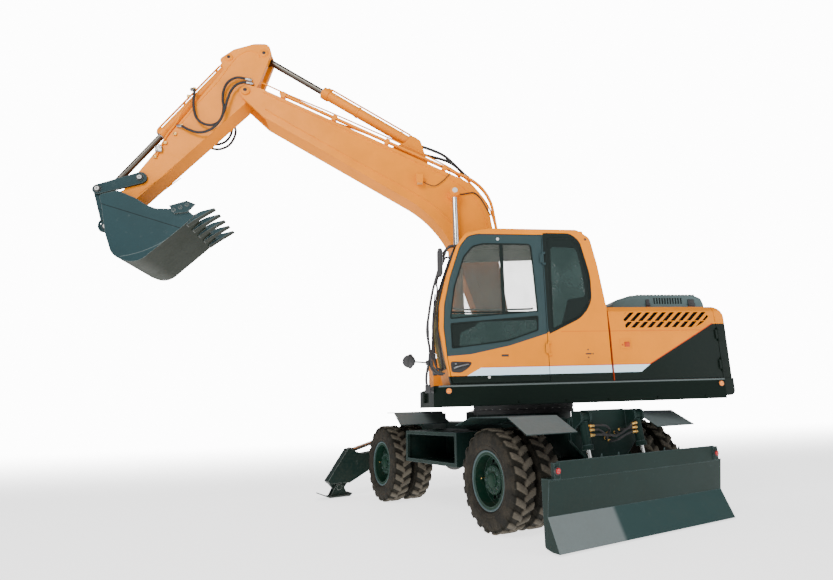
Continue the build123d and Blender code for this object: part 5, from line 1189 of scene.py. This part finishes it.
class EXCAVATOR_OT_boom_trim(bpy.types.Operator):
    """Builds welds, pin caps, ports, thin pipes, and the work lamp's glass and cable on boom and arm"""

    bl_idname = "excavator.boom_trim"
    bl_label = "Boom and arm trim"

    def execute(self, context):
        thin = context.scene.excavator_hoses.thin
        welds = both_sides([weld_bead(path, ARM_FACE_Y) for path in ARM_WELDS])
        put_mesh("arm_welds", welds, "arm", "yellow", smooth=True)
        welds = both_sides([weld_bead(path, BOOM_FACE_Y, 0.007) for path in BOOM_WELDS])
        put_mesh("boom_welds", welds, "boom", "yellow", smooth=True)
        ports = []
        for x, z in PORT_SPOTS:
            ports += [block((x - 0.02, 0.150, z - 0.02), (x + 0.02, 0.178, z + 0.02), 0.004),
                      disc((x, 0.176, z), LEFT, 0.012, 0.014)]
        put_mesh("arm_ports", both_sides(ports), "arm", "brass")
        piles = {}
        for body, x, z, y, radius, style in PINS:
            boss, washer, centre, washer_share, centre_share = PIN_STYLES[style]
            for finish, share, base, depth in ((boss, 1.0, 0.0, 0.010), (washer, washer_share, 0.010, 0.006),
                                               (centre, centre_share, 0.016, 0.004)):
                part = disc((x, y + base, z), LEFT, radius * share, depth, 0.0025, 32)
                piles.setdefault((body, finish), []).append(part)
        for (body, finish), parts in piles.items():
            put_mesh(f"{body}_pins_{finish}", both_sides(parts), body, finish)
        knob = [disc((RAM_PIN[0], 0.396, RAM_PIN[1]), LEFT, 0.036, 0.010, 0.004, 32)]
        put_mesh("boom_ram_pin_caps", both_sides(knob), "boom_rods", "cap")
        glass = block((1.322, 0.246, 4.272), (1.398, 0.304, 4.283), 0.004)
        put_mesh("work_lamp_glass", [glass], "boom", "lamp_glass")
        pipes = [tube(at_side(y, path), PIPE_R, 6) for y, path in TOP_PIPES]
        put_mesh("boom_top_pipes", pipes, "boom", "yellow", smooth=True)
        feed = both_sides([tube(at_side(ARM_PIPE_Y, ARM_PIPE), PIPE_R, 6)])
        put_mesh("arm_feed_pipe", feed, "arm", "yellow", smooth=True)
        valve = [block((4.728, 0.150, 4.655), (4.812, 0.196, 4.735)),
                 *(disc((x, 0.196, z), LEFT, 0.014, 0.012) for x, z in ((4.745, 4.712), (4.790, 4.675))),
                 block((4.755, 0.155, 4.735), (4.785, 0.185, 4.765), 0.004)]
        put_mesh("arm_valve", both_sides(valve), "arm", "steel")
        put_mesh("work_lamp_cable", [tube(LAMP_CABLE, thin * 0.5, 8, 8)], "boom", "black", smooth=True)
        line = tube(at_side(GREASE_Y, GREASE_LINE), thin * 0.7, 8, 8)
        put_mesh("boom_grease_line", [line], "boom", "black", smooth=True)
        return {"FINISHED"}


CYLINDERS = (  # body of the barrel, foot, rod pin, barrel length and radius, sideways places
    ("boom_barrels", (0.85, 1.45), RAM_PIN, 1.62, 0.068, (0.312, -0.312)),
    ("arm_barrel", (1.42, 4.99), (3.54, 6.24), 1.51, 0.075, (0,)),
    ("bucket_barrel", (4.005, 6.14), (5.43, 4.11), 1.43, 0.068, (0,)))


class EXCAVATOR_OT_cylinder_trim(bpy.types.Operator):
    """Builds the collars, bands, ports and feed pipes of the boom, arm and bucket cylinders"""

    bl_idname = "excavator.cylinder_trim"
    bl_label = "Cylinder trim"

    def execute(self, context):
        for body, (fx, fz), (rx, rz), length, radius, places in CYLINDERS:
            reach = math.dist((fx, fz), (rx, rz))
            steel, painted = [], []
            for y in places:
                start, end = np.array((fx, y, fz)), np.array((rx, y, rz))
                along = (end - start) / reach
                up = np.cross(along, (0, -1, 0))
                up = up if up[2] > 0 or abs(up[2]) < 0.1 else -up
                side = np.cross(along, up)
                steel.append(collar(start, end, (length + 0.004) / reach, radius * 0.74, 0.02))
                painted += [collar(start, end, share * length / reach, radius + 0.008, 0.035) for share in (0.16, 0.62)]
                # Feed pipe: distance from the lower port, lift over the barrel
                feed = ((0.0, -0.01), (0.03, 0.03), (0.10, 0.034), (length * 0.5, 0.034), (length - 0.24, 0.034),
                        (length - 0.17, 0.03), (length - 0.15, -0.01))
                painted.append(tube([start + along * (0.10 + t) + up * (radius + lift) for t, lift in feed], 0.013, 6))
                port = [(0, 0), (0, 0.03), (0.034, 0.03), (0.038, 0.026), (0.038, 0)]
                painted += [lathe(start + along * t + up * (radius - 0.008), up, port, 20)
                            for t in (0.10, length - 0.05)]
                for c, s in circle(8):
                    steel += bolt(start + along * length + (c * up + s * side) * radius * 0.93, along, 0.016, 0.010)
            put_mesh(body + "_collars", painted, body, "yellow")
            put_mesh(body + "_gland_ring", steel, body, "steel")
        return {"FINISHED"}


# Bucket, wheels and undercarriage

# Side cutter bolts and lifting loop: x, z
CUTTER_BOLTS = ((4.232, 3.795), (4.305, 3.758), (4.378, 3.722))
LIFTING_LOOP = ((5.184, 3.632), (5.238, 3.601), (5.246, 3.534), (5.213, 3.481), (5.166, 3.482))
TOOTH_PITCH = 0.23


class EXCAVATOR_OT_bucket_trim(bpy.types.Operator):
    """Builds the side cutter bolts, the tooth pins and the lifting loop of the bucket"""

    bl_idname = "excavator.bucket_trim"
    bl_label = "Bucket trim"

    def execute(self, context):
        bolts = sum((bolt((x, 0.546, z), LEFT, 0.038, 0.018) for x, z in CUTTER_BOLTS), [])
        put_mesh("side_cutter_bolts", both_sides(bolts), "bucket", "bucket")
        pins = [drum((4.125, y - 0.052, 3.668), LEFT, 0.013, 0.104, 14) for y in np.arange(-2, 3) * TOOTH_PITCH]
        put_mesh("tooth_pins", pins, "bucket", "bucket")
        loop = tube(at_side(0.42, LIFTING_LOOP), 0.013, 6, 10)
        put_mesh("lifting_loop", [loop], "bucket", "bucket", smooth=True)
        return {"FINISHED"}


# Wheel: sideways places of hub face, dish and rim bead, and profiles of hub cap and bead
HUB_Y, DISH_Y, BEAD_Y = 1.166, 1.094, 1.212
HUB_CAP = [(-0.002, 0), (-0.002, 0.078), (0.012, 0.078), (0.022, 0.068), (0.028, 0.045), (0.028, 0)]
BEAD = [(-0.012, 0.268), (0.004, 0.300), (0.010, 0.305), (0.016, 0.302), (0.012, 0.288), (-0.006, 0.262)]


class EXCAVATOR_OT_wheel_trim(bpy.types.Operator):
    """Builds hub bolts, wheel nuts, hub caps, rim beads and valves of the four twin wheels"""

    bl_idname = "excavator.wheel_trim"
    bl_label = "Wheel trim"

    def execute(self, context):
        for end, x in WHEELS:
            for side, sign in SIDES:
                wheel, body, out = f"{end}_{side}", f"wheel_{end}_{side}", (0, sign, 0)
                face, dish = sign * HUB_Y, sign * DISH_Y
                hub = [lathe((x, face, TYRE_R), out, HUB_CAP, 40)]
                for (c, s), (d, t) in zip(circle(10), circle(10, 0.3)):
                    hub += bolt((x + 0.116 * c, face, TYRE_R + 0.116 * s), out, 0.026, 0.016)
                    hub += bolt((x + 0.170 * d, dish, TYRE_R + 0.170 * t), out, 0.034, 0.026)
                put_mesh(f"hub_trim_{wheel}", under(hub), body, "rim")
                # Rim bead in the lighter paint: a painted highlight
                bead = under([lathe((x, sign * BEAD_Y, TYRE_R), out, BEAD, 96)])
                put_mesh(f"rim_bead_{wheel}", bead, body, "rim_edge", smooth=True)
                stem = [(x + 0.245, dish, TYRE_R), (x + 0.235, sign * 1.13, TYRE_R), (x + 0.215, sign * 1.165, TYRE_R)]
                put_mesh(f"valve_{wheel}", under([tube(stem, 0.006, sides=10)]), body, "brass")
        return {"FINISHED"}


# Lines of the blade cylinders in the undercarriage's own frame: x, y, z
BLADE_LINES = (
    ((-1.6, 0.345, 1.043), (-1.6, 0.26, 1.043), (-1.6, 0.154, 1.043), (-1.59, 0.07, 1.02), (-1.56, 0.02, 0.98),
     (-1.5, -0.01, 0.95), (-1.435, -0.02, 0.95)),
    ((-1.6, 0.345, 1.0), (-1.6, 0.28, 1.002), (-1.6, 0.216, 0.998), (-1.59, 0.12, 0.95), (-1.55, 0.05, 0.91),
     (-1.49, 0.02, 0.9), (-1.435, 0.02, 0.91)),
    ((-1.6, 0.345, 0.95), (-1.6, 0.24, 0.95), (-1.6, 0.146, 0.946), (-1.59, 0.0, 0.93), (-1.58, -0.066, 0.923),
     (-1.54, -0.12, 0.95), (-1.435, -0.14, 0.96)),
    ((-1.6, -0.345, 1.047), (-1.6, -0.3, 1.04), (-1.6, -0.26, 1.015), (-1.56, -0.22, 0.985), (-1.435, -0.2, 0.98)),
    ((-1.6, -0.345, 1.0), (-1.6, -0.28, 1.0), (-1.6, -0.2, 0.985), (-1.58, -0.12, 0.94), (-1.53, -0.07, 0.92),
     (-1.435, -0.06, 0.93)),
    ((-1.6, -0.345, 0.955), (-1.6, -0.26, 0.95), (-1.6, -0.18, 0.93), (-1.58, -0.09, 0.89), (-1.52, -0.04, 0.87),
     (-1.435, -0.03, 0.88)))
BLADE_LAMP_Y = 1.154


class EXCAVATOR_OT_undercarriage(bpy.types.Operator):
    """Builds the blade's hydraulic lines and fittings, the lamp rims and the axle cover bolts"""

    bl_idname = "excavator.undercarriage"
    bl_label = "Undercarriage trim"

    def execute(self, context):
        radius = context.scene.excavator_hoses.thin
        lines = [tube(route, radius, 8) for route in BLADE_LINES]
        put_mesh("blade_lines", under(lines), "chassis", "black", smooth=True)
        fittings = [hose_end(route[i], route[j], radius * 1.15) for route in BLADE_LINES for i, j in ((0, 1), (-1, -2))]
        put_mesh("blade_line_fittings", under(fittings), "chassis", "brass")
        profile = [(-0.004, 0.037), (0.010, 0.037), (0.014, 0.032), (0.010, 0.0265), (-0.004, 0.0265)]
        rims = [lathe((-1.996, y, 0.69), REARWARD, profile, 32) for y in (BLADE_LAMP_Y, -BLADE_LAMP_Y)]
        put_mesh("blade_lamp_rims", under(rims), "blade", "plastic")
        bolts = []
        for (_, x), ahead in zip(WHEELS, (-1, 1)):
            for c, s in circle(12):
                out = np.array((0.775 * ahead, 0.632 * c, 0.632 * s))
                bolts += bolt(np.array((x, 0, TYRE_R)) + 0.189 * out, out, 0.022, 0.012)
        put_mesh("axle_bolts", under(bolts), "chassis", "cast")
        return {"FINISHED"}


# Stage, camera and panel

LIGHTS = (  # name, place, aim, size, power, tint
    ("key_light", (6.5, 10.0, 9.5), (0.5, 0, 2.2), 6.0, 1150, (1, 0.98, 0.95)),
    ("fill_light", (-8.0, 8.0, 5.0), (0, 0, 1.5), 8.0, 350, (0.93, 0.96, 1)),
    ("back_light", (2.0, -9.0, 9.0), (1.0, 0, 2.5), 8.0, 400, (1, 1, 1)))
# World light on the machine and brightness of the background that the camera sees
SKY_STRENGTH, BACKGROUND_STRENGTH = 0.4, 13.0
FLOOR_REACH = 120
# Where the floor starts to fade behind the machine and where it is gone, in metres to the right
FLOOR_FADE = (3.0, 20.0)


def camera_axes():
    """Right, up and back of the camera from its heading, pitch and roll."""
    ahead = np.array([math.cos(CAMERA_YAW) * math.cos(CAMERA_PITCH), math.sin(CAMERA_YAW) * math.cos(CAMERA_PITCH),
                      math.sin(CAMERA_PITCH)])
    right = np.cross(ahead, UP)
    right /= np.linalg.norm(right)
    up = np.cross(right, ahead)
    c, s = math.cos(CAMERA_ROLL), math.sin(CAMERA_ROLL)
    return c * right + s * up, c * up - s * right, -ahead


class EXCAVATOR_OT_stage(bpy.types.Operator):
    """Pale floor, soft lights and the camera of the photograph"""

    bl_idname = "excavator.stage"
    bl_label = "Stage"

    def execute(self, context):
        scene, link = context.scene, context.collection.objects.link
        data = bpy.data.cameras.new("photo_camera")
        data.sensor_width = SENSOR
        data.lens = FOCAL_PX * SENSOR / PHOTO_W
        data.shift_x = (PHOTO_W / 2 - CENTRE_PX[0]) / PHOTO_W
        data.shift_y = (CENTRE_PX[1] - PHOTO_H / 2) / PHOTO_W
        data.clip_end = VIEW_END
        camera = bpy.data.objects.new("photo_camera", data)
        columns = np.stack(camera_axes(), 1)
        camera.matrix_world = Matrix.Translation(CAMERA_AT) @ Matrix(columns.tolist()).to_4x4()
        link(camera)
        scene.camera = camera
        world = bpy.data.worlds.new("soft_sky")
        world.use_nodes = True
        tree = world.node_tree
        sky, seen = tree.nodes["Background"], tree.nodes.new("ShaderNodeBackground")
        for light, tint, strength in ((sky, (0.95, 0.975, 1.0, 1), SKY_STRENGTH),
                                      (seen, (1, 1, 1, 1), BACKGROUND_STRENGTH)):
            light.inputs["Color"].default_value = tint
            light.inputs["Strength"].default_value = strength
        rays, pick = tree.nodes.new("ShaderNodeLightPath"), tree.nodes.new("ShaderNodeMixShader")
        for socket, source in enumerate((rays.outputs["Is Camera Ray"], sky.outputs[0], seen.outputs[0])):
            tree.links.new(source, pick.inputs[socket])
        tree.links.new(pick.outputs[0], tree.nodes["World Output"].inputs[0])
        scene.world = world
        for name, at, aim, size, power, tint in LIGHTS:
            data = bpy.data.lights.new(name, "AREA")
            data.shape, data.size, data.energy, data.color = "DISK", size, power, tint
            lamp = bpy.data.objects.new(name, data)
            lamp.location = at
            lamp.rotation_euler = (Vector(aim) - Vector(at)).to_track_quat("-Z", "Y").to_euler()
            link(lamp)
        floor = Finish("pale_floor", Roughness=0.9)
        floor.set("Emission Color", (1, 1, 1, 1)).set("Emission Strength", 1.8)
        floor.set("Alpha", 1.0 - floor.step(floor.axis("Y") * -1.0, *FLOOR_FADE))
        floor.set("Base Color", floor.mix(floor.noise(0.8) * 0.2, (0.92, 0.92, 0.92, 1), (0.88, 0.88, 0.88, 1)))
        steps = np.linspace(-FLOOR_REACH, FLOOR_REACH, 9)
        grid = np.stack([*np.meshgrid(steps, steps, indexing="ij"), np.zeros((9, 9))], -1)
        mesh = bpy.data.meshes.new("floor")
        mesh.from_pydata(grid.reshape(-1, 3).tolist(), [], grid_faces(9, 9, close_columns=False)[:, ::-1].tolist())
        mesh.materials.append(floor.material)
        ground = bpy.data.objects.new("floor", mesh)
        link(ground)
        return {"FINISHED"}


OPERATORS = (
    EXCAVATOR_OT_frame_finish, EXCAVATOR_OT_tyres, EXCAVATOR_OT_cab_side, EXCAVATOR_OT_cab_front, EXCAVATOR_OT_seat,
    EXCAVATOR_OT_panels, EXCAVATOR_OT_skirt, EXCAVATOR_OT_hoses, EXCAVATOR_OT_boom_trim, EXCAVATOR_OT_cylinder_trim,
    EXCAVATOR_OT_bucket_trim, EXCAVATOR_OT_wheel_trim, EXCAVATOR_OT_undercarriage, EXCAVATOR_OT_stage)


class EXCAVATOR_PT_panel(bpy.types.Panel):
    """Lists the steps that dress the excavator"""

    bl_idname = "EXCAVATOR_PT_panel"
    bl_label = "Excavator"
    bl_space_type = "VIEW_3D"
    bl_region_type = "UI"
    bl_category = "Excavator"

    def draw(self, context):
        for operator in OPERATORS:
            self.layout.operator(operator.bl_idname)
        for group, settings in GROUPS:
            for name in settings.__annotations__:
                self.layout.prop(getattr(context.scene, group), name)


GROUPS = (("excavator_paint", ExcavatorPaint), ("excavator_tyres", ExcavatorTyres), ("excavator_hoses", ExcavatorHoses))


def register():
    for _, group in GROUPS:
        bpy.utils.register_class(group)
    for cls in (*OPERATORS, EXCAVATOR_PT_panel):
        bpy.utils.register_class(cls)
    for name, group in GROUPS:
        setattr(bpy.types.Scene, name, PointerProperty(type=group))


def unregister():
    for name, _ in GROUPS:
        delattr(bpy.types.Scene, name)
    for cls in (EXCAVATOR_PT_panel, *reversed(OPERATORS)):
        bpy.utils.unregister_class(cls)
    for _, group in GROUPS:
        bpy.utils.unregister_class(group)


def main():
    global PAINT
    register()
    PAINT = bpy.context.scene.excavator_paint
    for operator in OPERATORS:
        group, name = operator.bl_idname.split(".")
        getattr(getattr(bpy.ops, group), name)()


if __name__ == "__main__":
    main()
